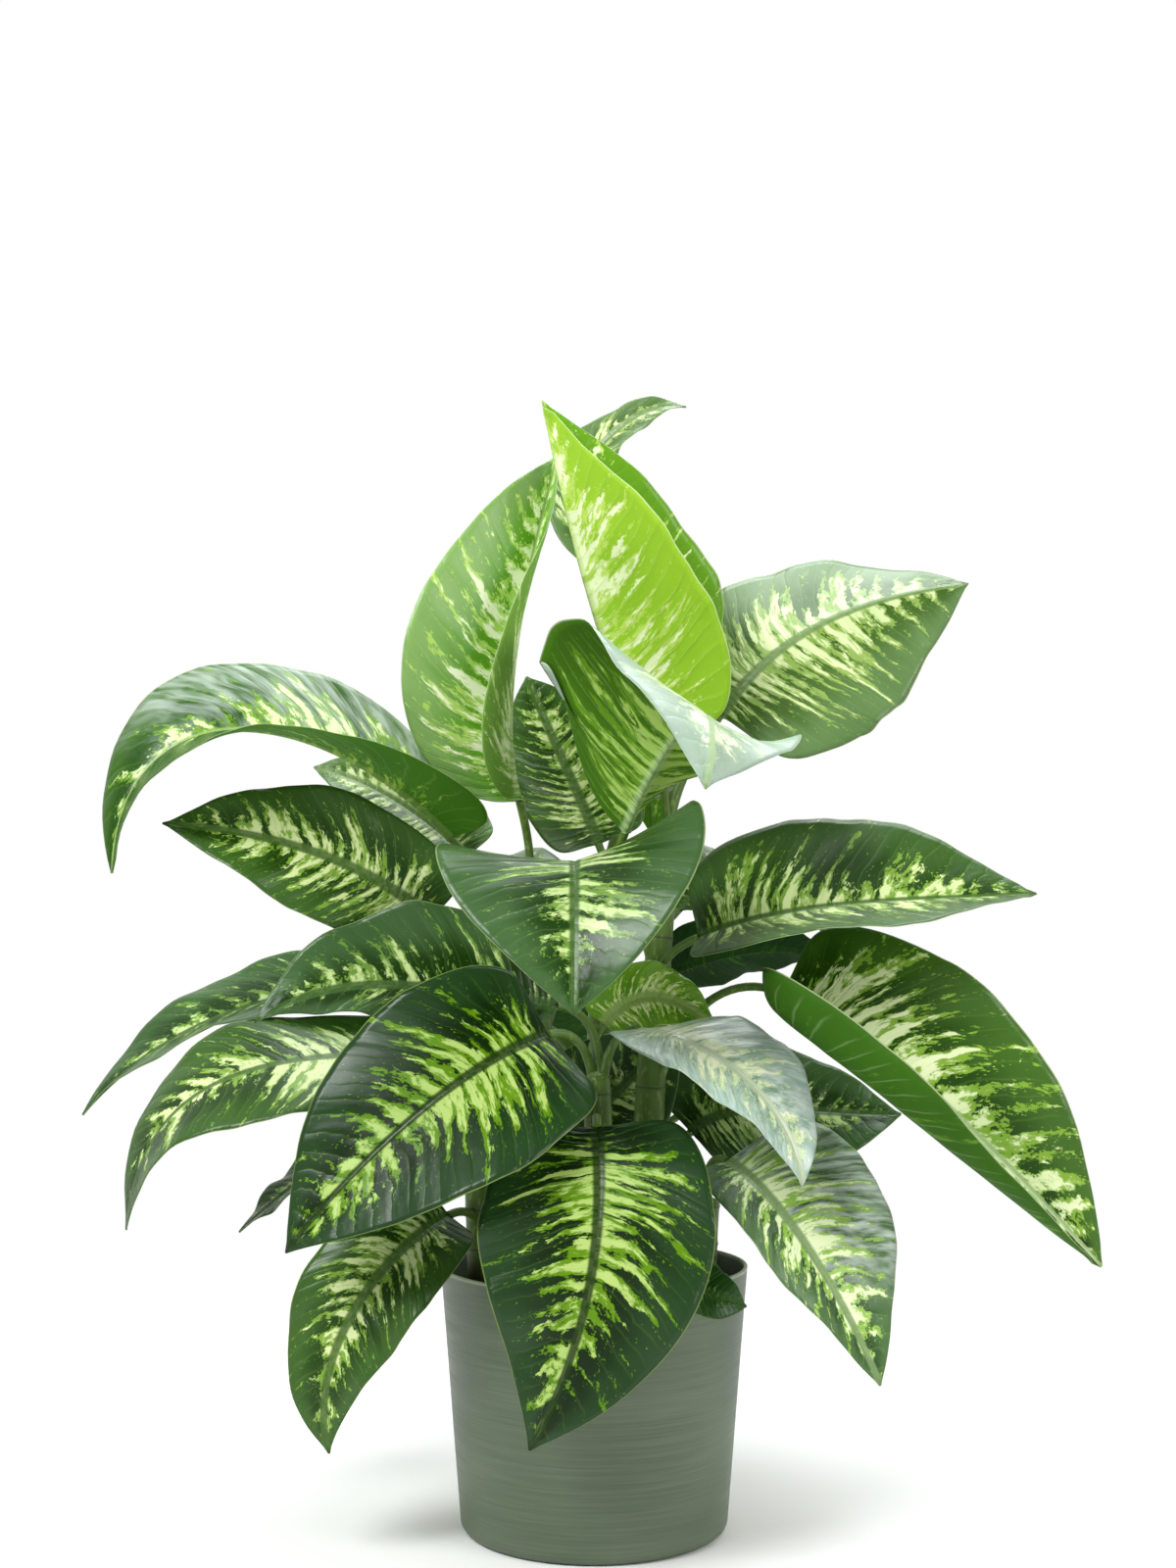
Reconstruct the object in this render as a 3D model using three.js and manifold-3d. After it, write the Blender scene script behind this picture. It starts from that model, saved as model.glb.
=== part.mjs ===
// A potted dieffenbachia: a round tapered pot with soil, six canes with their leaf stalks, and one
// blade for each leaf. Millimetres, +Z up. The origin is the middle of the pot's underside, and the
// plant is seen from -Y, with +X to the right.
import * as THREE from 'three';
import { mergeVertices } from 'three/addons/utils/BufferGeometryUtils.js';
import Module from 'manifold-3d';

const wasm = await Module();
wasm.setup();

// Driving dimensions
const GAP = 0.35;
const POT = {
  rimRadius: 125, baseRadius: 109, height: 214, wall: 3, floor: 5, footRound: 9, rimChamfer: 1,
  sides: 60, arcSteps: 3,
};
const SOIL = { level: 184, crown: 190, edgeDip: 3, shoulder: 186, shoulderRadius: 70 };
const HOLE = { depth: 60, sides: 8 };
const CANE = { footRadius: 14, topRadius: 10, sides: 8, rings: 7 };
const STALK = { sheathRadius: 7, endRadius: 3.4, slimBy: 0.67, sides: 6, rings: 6, reach: 0.42 };
const BLADE = {
  thickness: 1.1, ribAtBase: 4.5, ribAtTip: 1.4, baseHalfWidth: 4.2, tipHalfWidth: 0.9, bentFrom: 12,
  leastMitre: 0.4,
};
const OUTLINE = { rise: 0.6, taper: 1.02, lobe: 0.1, lobeEnd: 0.28, veinSweep: 0.17, veinCurve: 1.5 };

// Rows run from the stalk to the tip, and columns from the left margin over the midrib to the right one.
// A blade whose margins curl further than CURLED, in degrees, has the closer columns.
const ROWS = [0, 0.035, 0.1, 0.19, 0.3, 0.42, 0.54, 0.66, 0.78, 0.9, 1];
const COLUMNS = [-1, -0.55, -0.09, 0, 0.09, 0.55, 1];
const CURLED_COLUMNS = [-1, -0.78, -0.54, -0.3, -0.09, 0, 0.09, 0.3, 0.54, 0.78, 1];
const CURLED = 60;

const COLOUR = {
  pot: 0x8d9585, soil: 0x3a2c20, cane: 0x6d8040,
  fresh: 0x8fbf3a, mottled: 0x6f9a34, dark: 0x35592f, grey: 0x7d9a86,
};

// Canes: where the foot stands in the soil, the middle, and the top
const CANES = {
  cane_left: [[-84, -38, 0], [-92, -34, 290], [-98, -22, 385]],
  cane_tall_left: [[-32, 22, 0], [-45, 20, 380], [-62, 14, 545]],
  cane_tall_right: [[38, 18, 0], [48, 20, 380], [60, 18, 560]],
  cane_front: [[8, -62, 0], [4, -62, 290], [2, -60, 375]],
  cane_back: [[-2, 84, 0], [4, 92, 330], [8, 98, 500]],
  cane_low_right: [[84, -12, 0], [88, -12, 230], [92, -14, 270]],
};

// Leaves. stalk: the cane and the height at which the leaf stalk leaves it. half: half the width, or
// the left and the right half's. lobe: how far the margin sweeps back beside the stalk, as a share of
// the length. midrib: base, two points between and tip. face: which way the upper side looks, at the
// base and at the tip. fold: how far each half stands up from flat at the midrib, in degrees, as
// [left, right] at the base and at the tip. curl: the further bend out to the margin, given alike.
const LEAVES = {
  crown_left: {
    stalk: ['cane_tall_left', 470], half: [90, 44], look: 'fresh', lobe: 0.0,
    midrib: [[-60, -30, 590], [-66, -36, 682], [-51, -12, 782], [-31, 22, 880]],
    face: [[-0.2, -1, 0.1], [-0.1, -1, 0.3]],
    fold: [[8, 125], [52, 34]], curl: [[5, 10], [10, 15]],
  },
  crown_right: {
    stalk: ['cane_tall_right', 500], half: [100, 105], look: 'fresh',
    midrib: [[46, 10, 632], [8, -5, 722], [-20, -12, 818], [-42, -15, 915]],
    face: [[1, -0.2, 0.2], [0.5, -0.85, 0.2]],
    fold: [[90, 60], [85, 40]], curl: [[0, 0], [0, 0]],
  },
  back_top: {
    stalk: ['cane_back', 480], half: 30, look: 'grey',
    midrib: [[12, 106, 812], [-10, 104, 878], [28, 100, 928], [80, 98, 942]],
    face: [[-0.2, -0.8, 0.5], [-0.3, -0.8, 0.6]],
    fold: [[12, 12], [8, 8]], curl: [[0, 0], [0, 0]],
  },
  right_upper: {
    stalk: ['cane_tall_right', 540], half: [100, 104], look: 'mottled', lobe: 0.12,
    midrib: [[105, 28, 665], [165, 35, 728], [240, 55, 765], [322, 80, 785]],
    face: [[-0.1, -0.5, 0.87], [0, -0.5, 0.87]],
    fold: [[12, -34], [8, -40]], curl: [[0, 0], [0, 0]],
  },
  fold_over: {
    stalk: ['cane_tall_right', 440], half: [100, 128], look: 'fresh', lobe: -0.12,
    midrib: [[25, -26, 565], [60, -70, 632], [84, -122, 648], [79, -198, 586]],
    face: [[0.5, 0.8, 0.4], [0.5, -0.6, 0.9]],
    fold: [[100, -4], [-30, 0]], curl: [[0, 0], [0, 0]],
  },
  center_heart: {
    stalk: ['cane_tall_left', 400], half: 106, look: 'dark',
    midrib: [[-15, -50, 522], [-15, -108, 535], [-15, -155, 492], [-15, -186, 424]],
    face: [[0, 0, 1], [0, -0.9, 0.4]],
    fold: [[25, 0], [8, 4]], curl: [[15, 20], [0, 0]],
  },
  left_arch: {
    stalk: ['cane_tall_left', 430], half: 80, look: 'mottled',
    midrib: [[-118, 14, 562], [-225, -30, 636], [-328, -58, 632], [-377, -70, 530]],
    face: [[0, -0.3, 0.95], [-0.55, -0.8, 0.1]],
    fold: [[45, 25], [25, 15]], curl: [[0, 0], [0, -30]],
  },
  left_upper: {
    stalk: ['cane_tall_left', 450], half: 56, look: 'mottled',
    midrib: [[-130, -30, 495], [-198, -42, 538], [-268, -52, 560], [-340, -58, 570]],
    face: [[0.15, -1, 0.18], [0, -0.85, 0.5]],
    fold: [[12, 12], [12, 12]], curl: [[-10, -10], [0, 0]],
  },
  back_left: {
    stalk: ['cane_back', 440], half: 52, look: 'grey',
    midrib: [[-110, 92, 550], [-152, 100, 585], [-196, 105, 612], [-245, 110, 630]],
    face: [[0.3, -0.8, 0.5], [0.2, -0.8, 0.5]],
    fold: [[12, 12], [10, 10]], curl: [[0, 0], [0, 0]],
  },
  left_mid: {
    stalk: ['cane_front', 330], half: [30, 68], look: 'dark', lobe: 0.02,
    midrib: [[-30, -34, 425], [-111, -58, 438], [-189, -72, 442], [-262, -90, 414]],
    face: [[0, -0.3, 0.95], [-0.3, -0.75, 0.6]],
    fold: [[-35, 72], [-55, 26]], curl: [[0, 0], [0, 0]],
  },
  left_big: {
    stalk: ['cane_front', 290], half: [98, 86], look: 'mottled', lobe: 0.1,
    midrib: [[-36, -70, 404], [-100, -108, 372], [-168, -131, 315], [-230, -140, 245]],
    face: [[-0.35, -0.9, 0.25], [-0.4, -0.85, 0.3]],
    fold: [[10, 10], [10, 12]], curl: [[0, 0], [0, 0]],
  },
  left_low: {
    stalk: ['cane_left', 300], half: 66, look: 'mottled',
    midrib: [[-130, 40, 385], [-240, 5, 380], [-332, -15, 345], [-385, 8, 240]],
    face: [[0, -0.5, 0.9], [-0.8, -0.5, 0.1]],
    fold: [[-15, 0], [10, 5]], curl: [[0, 0], [0, 0]],
  },
  left_far: {
    stalk: ['cane_back', 320], half: 56, look: 'dark',
    midrib: [[-160, 110, 435], [-262, 102, 430], [-360, 92, 395], [-440, 80, 328]],
    face: [[0, -0.45, 0.9], [-0.4, -0.4, 0.8]],
    fold: [[15, 15], [15, 15]], curl: [[0, 0], [0, 0]],
  },
  left_bottom: {
    stalk: ['cane_left', 240], half: 52, look: 'mottled',
    midrib: [[-114, -62, 262], [-164, -88, 222], [-200, -98, 158], [-203, -100, 85]],
    face: [[-0.3, -0.85, 0.5], [-0.2, -1, 0.1]],
    fold: [[10, 10], [10, 10]], curl: [[0, 0], [0, 0]],
  },
  front: {
    stalk: ['cane_front', 250], half: 88, look: 'mottled',
    midrib: [[2, -105, 335], [2, -148, 268], [-12, -162, 190], [-48, -166, 105]],
    face: [[0, -0.8, 0.6], [0, -1, 0.1]],
    fold: [[5, 5], [8, 8]], curl: [[0, 0], [0, 0]],
  },
  rim_tip: {
    stalk: ['cane_low_right', 215], half: 28, look: 'dark',
    midrib: [[42, -104, 240], [66, -128, 222], [91, -136, 212], [114, -128, 203]],
    face: [[0.2, -0.6, 0.8], [0.2, -0.9, 0.4]],
    fold: [[10, 10], [10, 10]], curl: [[0, 0], [0, 0]],
  },
  right_low: {
    stalk: ['cane_low_right', 235], half: [84, 44], look: 'mottled',
    midrib: [[106, -40, 302], [144, -76, 268], [184, -92, 208], [220, -92, 135]],
    face: [[0.2, -0.8, 0.6], [0.5, -0.8, 0.2]],
    fold: [[10, 10], [10, 10]], curl: [[0, 0], [0, 0]],
  },
  right_low_back: {
    stalk: ['cane_low_right', 250], half: [60, 72], look: 'dark',
    midrib: [[82, 52, 316], [132, 56, 334], [198, 64, 332], [262, 66, 330]],
    face: [[0, -0.8, 0.6], [0.2, -0.85, 0.5]],
    fold: [[10, 10], [10, 10]], curl: [[0, 0], [0, 0]],
  },
  right_gloss: {
    stalk: ['cane_front', 320], half: [68, 48], look: 'grey',
    midrib: [[34, -62, 408], [80, -96, 396], [129, -118, 357], [156, -126, 293]],
    face: [[0.3, -0.7, 0.6], [0.4, -0.85, 0.35]],
    fold: [[-25, 20], [0, 15]], curl: [[0, 0], [0, 0]],
  },
  right_small: {
    stalk: ['cane_front', 350], half: 30, look: 'fresh',
    midrib: [[8, -16, 410], [34, -18, 430], [66, -20, 428], [100, -24, 403]],
    face: [[0, -0.95, 0.3], [0.3, -0.9, 0.3]],
    fold: [[10, 10], [10, 10]], curl: [[0, 0], [0, 0]],
  },
  right_mid: {
    stalk: ['cane_tall_right', 380], half: 96, look: 'mottled',
    midrib: [[84, -24, 480], [170, -42, 502], [260, -50, 510], [350, -50, 515]],
    face: [[0, -0.55, 0.83], [0, -0.55, 0.83]],
    fold: [[18, 22], [21, 21]], curl: [[0, 0], [0, 0]],
  },
  right_dark: {
    stalk: ['cane_tall_right', 350], half: 48, look: 'dark',
    midrib: [[64, 54, 452], [108, 52, 464], [154, 50, 470], [200, 50, 458]],
    face: [[0, 0.6, 0.8], [0, 0.6, 0.8]],
    fold: [[10, 10], [10, 10]], curl: [[0, 0], [0, 0]],
  },
  right_arch: {
    stalk: ['cane_tall_right', 310], half: [90, 112], look: 'mottled',
    midrib: [[150, -40, 436], [232, -78, 384], [314, -95, 308], [388, -100, 228]],
    face: [[0.1, -0.9, 0.4], [0.1, -0.95, 0.2]],
    fold: [[15, 5], [15, 5]], curl: [[0, 140], [0, 120]],
  },
  back_mid: {
    stalk: ['cane_tall_left', 380], half: 58, look: 'mottled',
    midrib: [[4, 60, 560], [-18, 70, 612], [-40, 80, 662], [-58, 88, 706]],
    face: [[0.2, -0.9, 0.3], [0.2, -0.9, 0.3]],
    fold: [[12, 12], [10, 10]], curl: [[0, 0], [0, 0]],
  },
  bud_tip: {
    stalk: ['cane_back', 250], half: 34, look: 'dark',
    midrib: [[-175, 92, 318], [-222, 82, 292], [-264, 72, 262], [-302, 62, 230]],
    face: [[0, -0.2, 1], [0, -0.2, 1]],
    fold: [[10, 10], [10, 10]], curl: [[0, 0], [0, 0]],
  },
  inner: {
    stalk: ['cane_back', 215], half: 58, look: 'dark',
    midrib: [[-40, 60, 290], [0, 58, 330], [38, 56, 368], [72, 54, 405]],
    face: [[0, -1, 0.2], [0, -1, 0.2]],
    fold: [[10, 10], [10, 10]], curl: [[0, 0], [0, 0]],
  },
  rear_high: {
    stalk: ['cane_back', 470], half: 84, look: 'mottled',
    midrib: [[25, 140, 595], [40, 200, 650], [52, 262, 655], [58, 305, 580]],
    face: [[0, 0.1, 1], [0.1, 0.9, 0.3]],
    fold: [[12, 12], [10, 10]], curl: [[10, 10], [0, 0]],
  },
  rear_left: {
    stalk: ['cane_back', 400], half: 78, look: 'mottled',
    midrib: [[-55, 130, 500], [-110, 190, 545], [-160, 242, 540], [-195, 280, 465]],
    face: [[-0.2, 0, 1], [-0.5, 0.8, 0.3]],
    fold: [[12, 12], [10, 10]], curl: [[0, 0], [0, 0]],
  },
  rear_right: {
    stalk: ['cane_back', 420], half: 80, look: 'mottled',
    midrib: [[75, 125, 505], [135, 178, 550], [190, 222, 540], [230, 255, 470]],
    face: [[0.2, 0, 1], [0.6, 0.7, 0.3]],
    fold: [[12, 12], [10, 10]], curl: [[0, 0], [0, 0]],
  },
  rear_mid: {
    stalk: ['cane_back', 330], half: 86, look: 'dark',
    midrib: [[5, 165, 420], [8, 232, 430], [6, 285, 390], [2, 318, 315]],
    face: [[0, 0.2, 1], [0, 0.9, 0.4]],
    fold: [[12, 12], [10, 10]], curl: [[0, 0], [0, 0]],
  },
  rear_left_low: {
    stalk: ['cane_back', 240], half: 66, look: 'mottled',
    midrib: [[-72, 145, 322], [-122, 188, 332], [-165, 225, 298], [-195, 252, 230]],
    face: [[-0.2, 0.1, 1], [-0.6, 0.7, 0.3]],
    fold: [[12, 12], [10, 10]], curl: [[0, 0], [0, 0]],
  },
  rear_right_low: {
    stalk: ['cane_back', 250], half: 70, look: 'mottled',
    midrib: [[85, 132, 330], [135, 172, 340], [180, 209, 302], [212, 239, 230]],
    face: [[0.2, 0.1, 1], [0.6, 0.7, 0.3]],
    fold: [[12, 12], [10, 10]], curl: [[0, 0], [0, 0]],
  },
  rear_low: {
    stalk: ['cane_back', 225], half: 62, look: 'dark',
    midrib: [[8, 150, 285], [10, 195, 278], [10, 228, 230], [8, 242, 165]],
    face: [[0, 0.3, 1], [0, 1, 0.2]],
    fold: [[12, 12], [10, 10]], curl: [[0, 0], [0, 0]],
  },
};

// A solid between closed rings of points, each ring capped with a fan round its middle. Where turned(k)
// is true, the square beside point k is split along its other diagonal.
function ringSolid(rings, turned = () => false) {
  const count = rings[0].length;
  const points = rings.flat();
  const index = [];
  for (let r = 0; r + 1 < rings.length; r += 1) {
    for (let k = 0; k < count; k += 1) {
      const next = (k + 1) % count;
      const [a, b] = [r * count + k, r * count + next];
      const [c, d] = [a + count, b + count];
      if (turned(k)) index.push(a, b, c, b, d, c);
      else index.push(a, b, d, a, d, c);
    }
  }
  const middle = (ring) => ring.reduce((sum, p) => sum.add(p), new THREE.Vector3()).divideScalar(count);
  const last = (rings.length - 1) * count;
  const [start, end] = [points.length, points.length + 1];
  points.push(middle(rings[0]), middle(rings.at(-1)));
  for (let k = 0; k < count; k += 1) {
    const next = (k + 1) % count;
    index.push(start, next, k, end, last + k, last + next);
  }
  const geometry = new THREE.BufferGeometry().setFromPoints(points);
  geometry.setIndex(index);
  return geometry;
}

// A round rod along a curve, its radius set by a function of the place along it
function rod(curve, radiusAt, sides, segments) {
  const start = curve.getTangent(0);
  let across = new THREE.Vector3(1, 0, 0).projectOnPlane(start).normalize();
  const rings = [];
  for (let i = 0; i <= segments; i += 1) {
    const tangent = curve.getTangent(i / segments);
    across = across.clone().projectOnPlane(tangent).normalize();
    const along = new THREE.Vector3().crossVectors(tangent, across);
    const centre = curve.getPoint(i / segments);
    const radius = radiusAt(i / segments);
    const ring = [];
    for (let k = 0; k < sides; k += 1) {
      const angle = (2 * Math.PI * k) / sides;
      ring.push(centre.clone()
        .addScaledVector(across, radius * Math.cos(angle))
        .addScaledVector(along, radius * Math.sin(angle)));
    }
    rings.push(ring);
  }
  return ringSolid(rings);
}

function toSolid(geometry) {
  const plain = geometry.index ? geometry : mergeVertices(geometry);
  for (const name of Object.keys(plain.attributes)) if (name !== 'position') plain.deleteAttribute(name);
  const merged = mergeVertices(plain, 1e-4);
  return new wasm.Manifold(new wasm.Mesh({
    numProp: 3,
    vertProperties: new Float32Array(merged.attributes.position.array),
    triVerts: new Uint32Array(merged.index.array),
  }));
}

function toGeometry(solid) {
  const mesh = solid.getMesh();
  const geometry = new THREE.BufferGeometry();
  geometry.setAttribute('position', new THREE.BufferAttribute(new Float32Array(mesh.vertProperties), 3));
  geometry.setIndex(new THREE.BufferAttribute(new Uint32Array(mesh.triVerts), 1));
  return geometry;
}

const vector = (p) => new THREE.Vector3(...p);
const mix = THREE.MathUtils.lerp;
const radians = THREE.MathUtils.degToRad;
const SLOPE_STEP = 1e-4;
const NORMAL_STEP = 1e-3;
const STRAIGHT = 1e-6;

// The midrib is the cubic curve that passes through its four points
class Midrib extends THREE.Curve {
  constructor(points) {
    super();
    this.points = points.map(vector);
    this.length = this.points.slice(1).reduce((sum, p, i) => sum + p.distanceTo(this.points[i]), 0);
  }

  getPoint(u) {
    if (u < 0) return this.getPoint(0).addScaledVector(this.slope(0), u);
    const w = [
      -4.5 * (u - 1 / 3) * (u - 2 / 3) * (u - 1),
      13.5 * u * (u - 2 / 3) * (u - 1),
      -13.5 * u * (u - 1 / 3) * (u - 1),
      4.5 * u * (u - 1 / 3) * (u - 2 / 3),
    ];
    return this.points.reduce((sum, p, i) => sum.addScaledVector(p, w[i]), new THREE.Vector3());
  }

  slope(u) {
    const inside = Math.max(u, 0);
    return this.getPoint(inside + SLOPE_STEP).sub(this.getPoint(inside)).divideScalar(SLOPE_STEP);
  }
}

// The flat outline: how far along the leaf and how far out the margin is, for a row q from 0 to 1
const outlineTop = OUTLINE.rise / (OUTLINE.rise + OUTLINE.taper);
const outlinePeak = outlineTop ** OUTLINE.rise * (1 - outlineTop) ** OUTLINE.taper;

function marginAt(q, leaf, side) {
  const shape = (q ** OUTLINE.rise * (1 - q) ** OUTLINE.taper) / outlinePeak;
  const least = mix(BLADE.baseHalfWidth, BLADE.tipHalfWidth, q);
  const lobe = (leaf.lobe ?? OUTLINE.lobe) * Math.sin(Math.PI * Math.min(q / OUTLINE.lobeEnd, 1));
  return { along: q - lobe, out: Math.max((leaf.half[side] ?? leaf.half) * shape, least) };
}

// How one half stands at row q: its fold at the midrib and its curl, in radians. A blade is flat where
// it is very narrow, at its base and its tip.
function bendAt(q, leaf, side) {
  const share = THREE.MathUtils.smoothstep(marginAt(q, leaf, side).out, 0, BLADE.bentFrom);
  return {
    fold: share * radians(mix(leaf.fold[0][side], leaf.fold[1][side], q)),
    curl: share * radians(mix(leaf.curl[0][side], leaf.curl[1][side], q)) || STRAIGHT,
  };
}

// A point of the leaf's middle surface, for row q and side v from -1 at the left margin to 1 at the right
function bladePoint(leaf, q, v) {
  const side = v < 0 ? 0 : 1;
  const reach = Math.abs(v);
  const margin = marginAt(q, leaf, side);
  const origin = q - OUTLINE.veinSweep * Math.sin(Math.PI * q);
  const u = mix(origin, margin.along, reach ** OUTLINE.veinCurve);
  const tangent = leaf.curve.slope(u).normalize();
  const clamped = THREE.MathUtils.clamp(u, 0, 1);
  const normal = leaf.faces[0].clone().lerp(leaf.faces[1], clamped).projectOnPlane(tangent).normalize();
  const across = new THREE.Vector3().crossVectors(tangent, normal);
  const { fold, curl } = bendAt(q, leaf, side);
  const scale = margin.out / curl;
  const out = scale * (Math.sin(fold + curl * reach) - Math.sin(fold));
  const up = scale * (Math.cos(fold) - Math.cos(fold + curl * reach));
  return leaf.curve.getPoint(u).addScaledVector(across, Math.sign(v) * out).addScaledVector(normal, up);
}

// The way out of the upper side there. The row at the stalk is square to the midrib.
function bladeNormal(leaf, q, v) {
  const step = NORMAL_STEP;
  const left = bladePoint(leaf, q, Math.max(v - step, -1));
  const overV = bladePoint(leaf, q, Math.min(v + step, 1)).sub(left);
  const ahead = bladePoint(leaf, Math.min(q + step, 1), v);
  const overQ = q === 0 ? leaf.curve.slope(0) : ahead.sub(bladePoint(leaf, q - step, v));
  return overV.cross(overQ).normalize();
}

// How far the upper and the under side stand off the middle surface. The halves meet in a mitre at the
// midrib, where the under side also carries the rib.
function bladeDepths(leaf, q, v) {
  const flat = BLADE.thickness / 2;
  if (v !== 0) return [flat, flat];
  const folds = [0, 1].map((side) => bendAt(q, leaf, side).fold);
  const mitre = Math.max(Math.cos((folds[0] + folds[1]) / 2), BLADE.leastMitre);
  const rib = mix(BLADE.ribAtBase, BLADE.ribAtTip, q) - flat;
  return [flat / mitre, Math.max(rib, flat / mitre)];
}

// The blade: an upper and an under face
function bladeGeometry(leaf) {
  const columns = Math.max(...leaf.curl.flat().map(Math.abs)) > CURLED ? CURLED_COLUMNS : COLUMNS;
  const rings = ROWS.map((q) => {
    const upper = [];
    const under = [];
    for (const v of columns) {
      const [above, below] = bladeDepths(leaf, q, v);
      const point = bladePoint(leaf, q, v);
      const normal = bladeNormal(leaf, q, v);
      upper.push(point.clone().addScaledVector(normal, above));
      under.unshift(point.clone().addScaledVector(normal, -below));
    }
    return [...upper, ...under];
  });
  const middle = (columns.length - 1) / 2;
  const turned = (k) => k % columns.length >= middle;
  return ringSolid(rings, turned);
}

// The leaf stalk leaves its cane upward and meets the blade in line with the midrib
const CANE_SAMPLES = 100;

function stalkGeometry(leaf, cane) {
  const start = cane.getPoints(CANE_SAMPLES).findLast((point) => point.z <= leaf.stalk[1]);
  const direction = leaf.curve.slope(0).normalize();
  const end = leaf.curve.getPoint(0).addScaledVector(direction, -GAP);
  const span = start.distanceTo(end) * STALK.reach;
  const upward = new THREE.Vector3(0, 0, 1);
  const curve = new THREE.CubicBezierCurve3(
    start,
    start.clone().addScaledVector(upward, span),
    end.clone().addScaledVector(direction, -span),
    end,
  );
  const radius = (t) => mix(STALK.sheathRadius, STALK.endRadius, Math.min(1, t / STALK.slimBy));
  return rod(curve, radius, STALK.sides, STALK.rings);
}

function caneCurve(points) {
  const [foot, middle, top] = points.map(vector);
  foot.z = SOIL.level - HOLE.depth + GAP;
  return new THREE.CatmullRomCurve3([foot, middle, top]);
}

const caneRadius = (t) => mix(CANE.footRadius, CANE.topRadius, t);

// The pot: a tapered wall on a flat floor, rounded where they meet
function potGeometry() {
  const { rimRadius, baseRadius, height, wall, floor, footRound, rimChamfer } = POT;
  const profile = new THREE.Path();
  profile.moveTo(0, 0);
  profile.lineTo(baseRadius - footRound, 0);
  profile.absarc(baseRadius - footRound, footRound, footRound, -Math.PI / 2, 0, false);
  profile.lineTo(rimRadius, height - rimChamfer);
  profile.lineTo(rimRadius - rimChamfer, height);
  profile.lineTo(rimRadius - wall, height);
  profile.lineTo(potInside(floor), floor);
  profile.lineTo(0, floor);
  return new THREE.LatheGeometry(profile.getPoints(POT.arcSteps), POT.sides).rotateX(Math.PI / 2);
}

function potInside(z) {
  return mix(POT.baseRadius, POT.rimRadius, z / POT.height) - POT.wall;
}

// The soil fills the pot, a little higher in the middle, with a plain hole for each cane
function soilSolid(canes) {
  const soilEdge = SOIL.level - SOIL.edgeDip;
  const profile = [
    [0, POT.floor + GAP],
    [potInside(POT.floor) - 2 * GAP, POT.floor + GAP],
    [potInside(soilEdge) - GAP, soilEdge],
    [SOIL.shoulderRadius, SOIL.shoulder],
    [0, SOIL.crown],
  ];
  const outline = profile.map((p) => new THREE.Vector2(...p));
  let solid = toSolid(new THREE.LatheGeometry(outline, POT.sides / 2).rotateX(Math.PI / 2));
  for (const curve of Object.values(canes)) {
    const foot = curve.getPoint(0);
    const above = curve.getPoint(0.5);
    const path = new THREE.LineCurve3(foot.clone().setZ(foot.z - GAP), above);
    solid = solid.subtract(toSolid(rod(path, () => CANE.footRadius + 2 * GAP, HOLE.sides, 1)));
  }
  return solid;
}

function addMesh(group, name, geometry, colour, roughness) {
  const material = new THREE.MeshStandardMaterial({ color: colour, roughness, metalness: 0 });
  const mesh = new THREE.Mesh(geometry, material);
  mesh.name = name;
  group.add(mesh);
}

const plant = new THREE.Group();
const canes = {};
for (const [name, points] of Object.entries(CANES)) canes[name] = caneCurve(points);

const stems = {};
for (const [name, curve] of Object.entries(canes)) {
  stems[name] = toSolid(rod(curve, caneRadius, CANE.sides, CANE.rings));
}
for (const leaf of Object.values(LEAVES)) {
  leaf.curve = new Midrib(leaf.midrib);
  leaf.faces = leaf.face.map((direction) => vector(direction).normalize());
  const cane = leaf.stalk[0];
  stems[cane] = stems[cane].add(toSolid(stalkGeometry(leaf, canes[cane])));
}

addMesh(plant, 'pot', potGeometry(), COLOUR.pot, 0.6);
addMesh(plant, 'soil', toGeometry(soilSolid(canes)), COLOUR.soil, 0.95);
for (const [name, solid] of Object.entries(stems)) addMesh(plant, name, toGeometry(solid), COLOUR.cane, 0.5);
for (const [name, leaf] of Object.entries(LEAVES)) {
  addMesh(plant, `leaf_${name}`, bladeGeometry(leaf), COLOUR[leaf.look], 0.4);
}

export default plant;
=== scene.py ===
# %% [markdown]
# # A potted dieffenbachia
# A bushy house plant in a plain round pot: six short canes stand in the soil, each cane carries
# leaf stalks, and each stalk ends in a broad blade with cream markings.
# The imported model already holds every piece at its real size. Here each piece gets its fine
# form and its finish, and stays where it is.

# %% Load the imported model
import math

import bpy
import numpy as np
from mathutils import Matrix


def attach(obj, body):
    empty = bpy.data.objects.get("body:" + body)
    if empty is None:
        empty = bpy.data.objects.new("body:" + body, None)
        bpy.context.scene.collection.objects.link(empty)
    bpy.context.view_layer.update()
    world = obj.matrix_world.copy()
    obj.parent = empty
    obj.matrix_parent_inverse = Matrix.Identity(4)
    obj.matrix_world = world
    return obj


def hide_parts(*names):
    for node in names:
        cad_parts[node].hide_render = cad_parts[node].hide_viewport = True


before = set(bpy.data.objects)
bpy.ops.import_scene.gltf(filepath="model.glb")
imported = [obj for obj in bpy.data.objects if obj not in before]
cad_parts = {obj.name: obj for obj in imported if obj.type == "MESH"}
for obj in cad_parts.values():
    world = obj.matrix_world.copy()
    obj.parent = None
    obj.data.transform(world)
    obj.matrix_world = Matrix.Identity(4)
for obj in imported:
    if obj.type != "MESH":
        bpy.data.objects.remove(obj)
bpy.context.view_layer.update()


def put(name, data):
    """Makes an object of this data and puts it in the scene."""
    made = bpy.data.objects.new(name, data)
    bpy.context.scene.collection.objects.link(made)
    return made


# %% [markdown]
# ## The view
# The photograph was taken level with the middle of the leaves, so upright lines stay upright.
# The lens points straight ahead, and a small shift moves the picture up instead of tilting it.
# The horizon's height in the picture gives the shift, and the curve of the pot's rim, seen from
# a little above, gives the distance.

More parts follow.
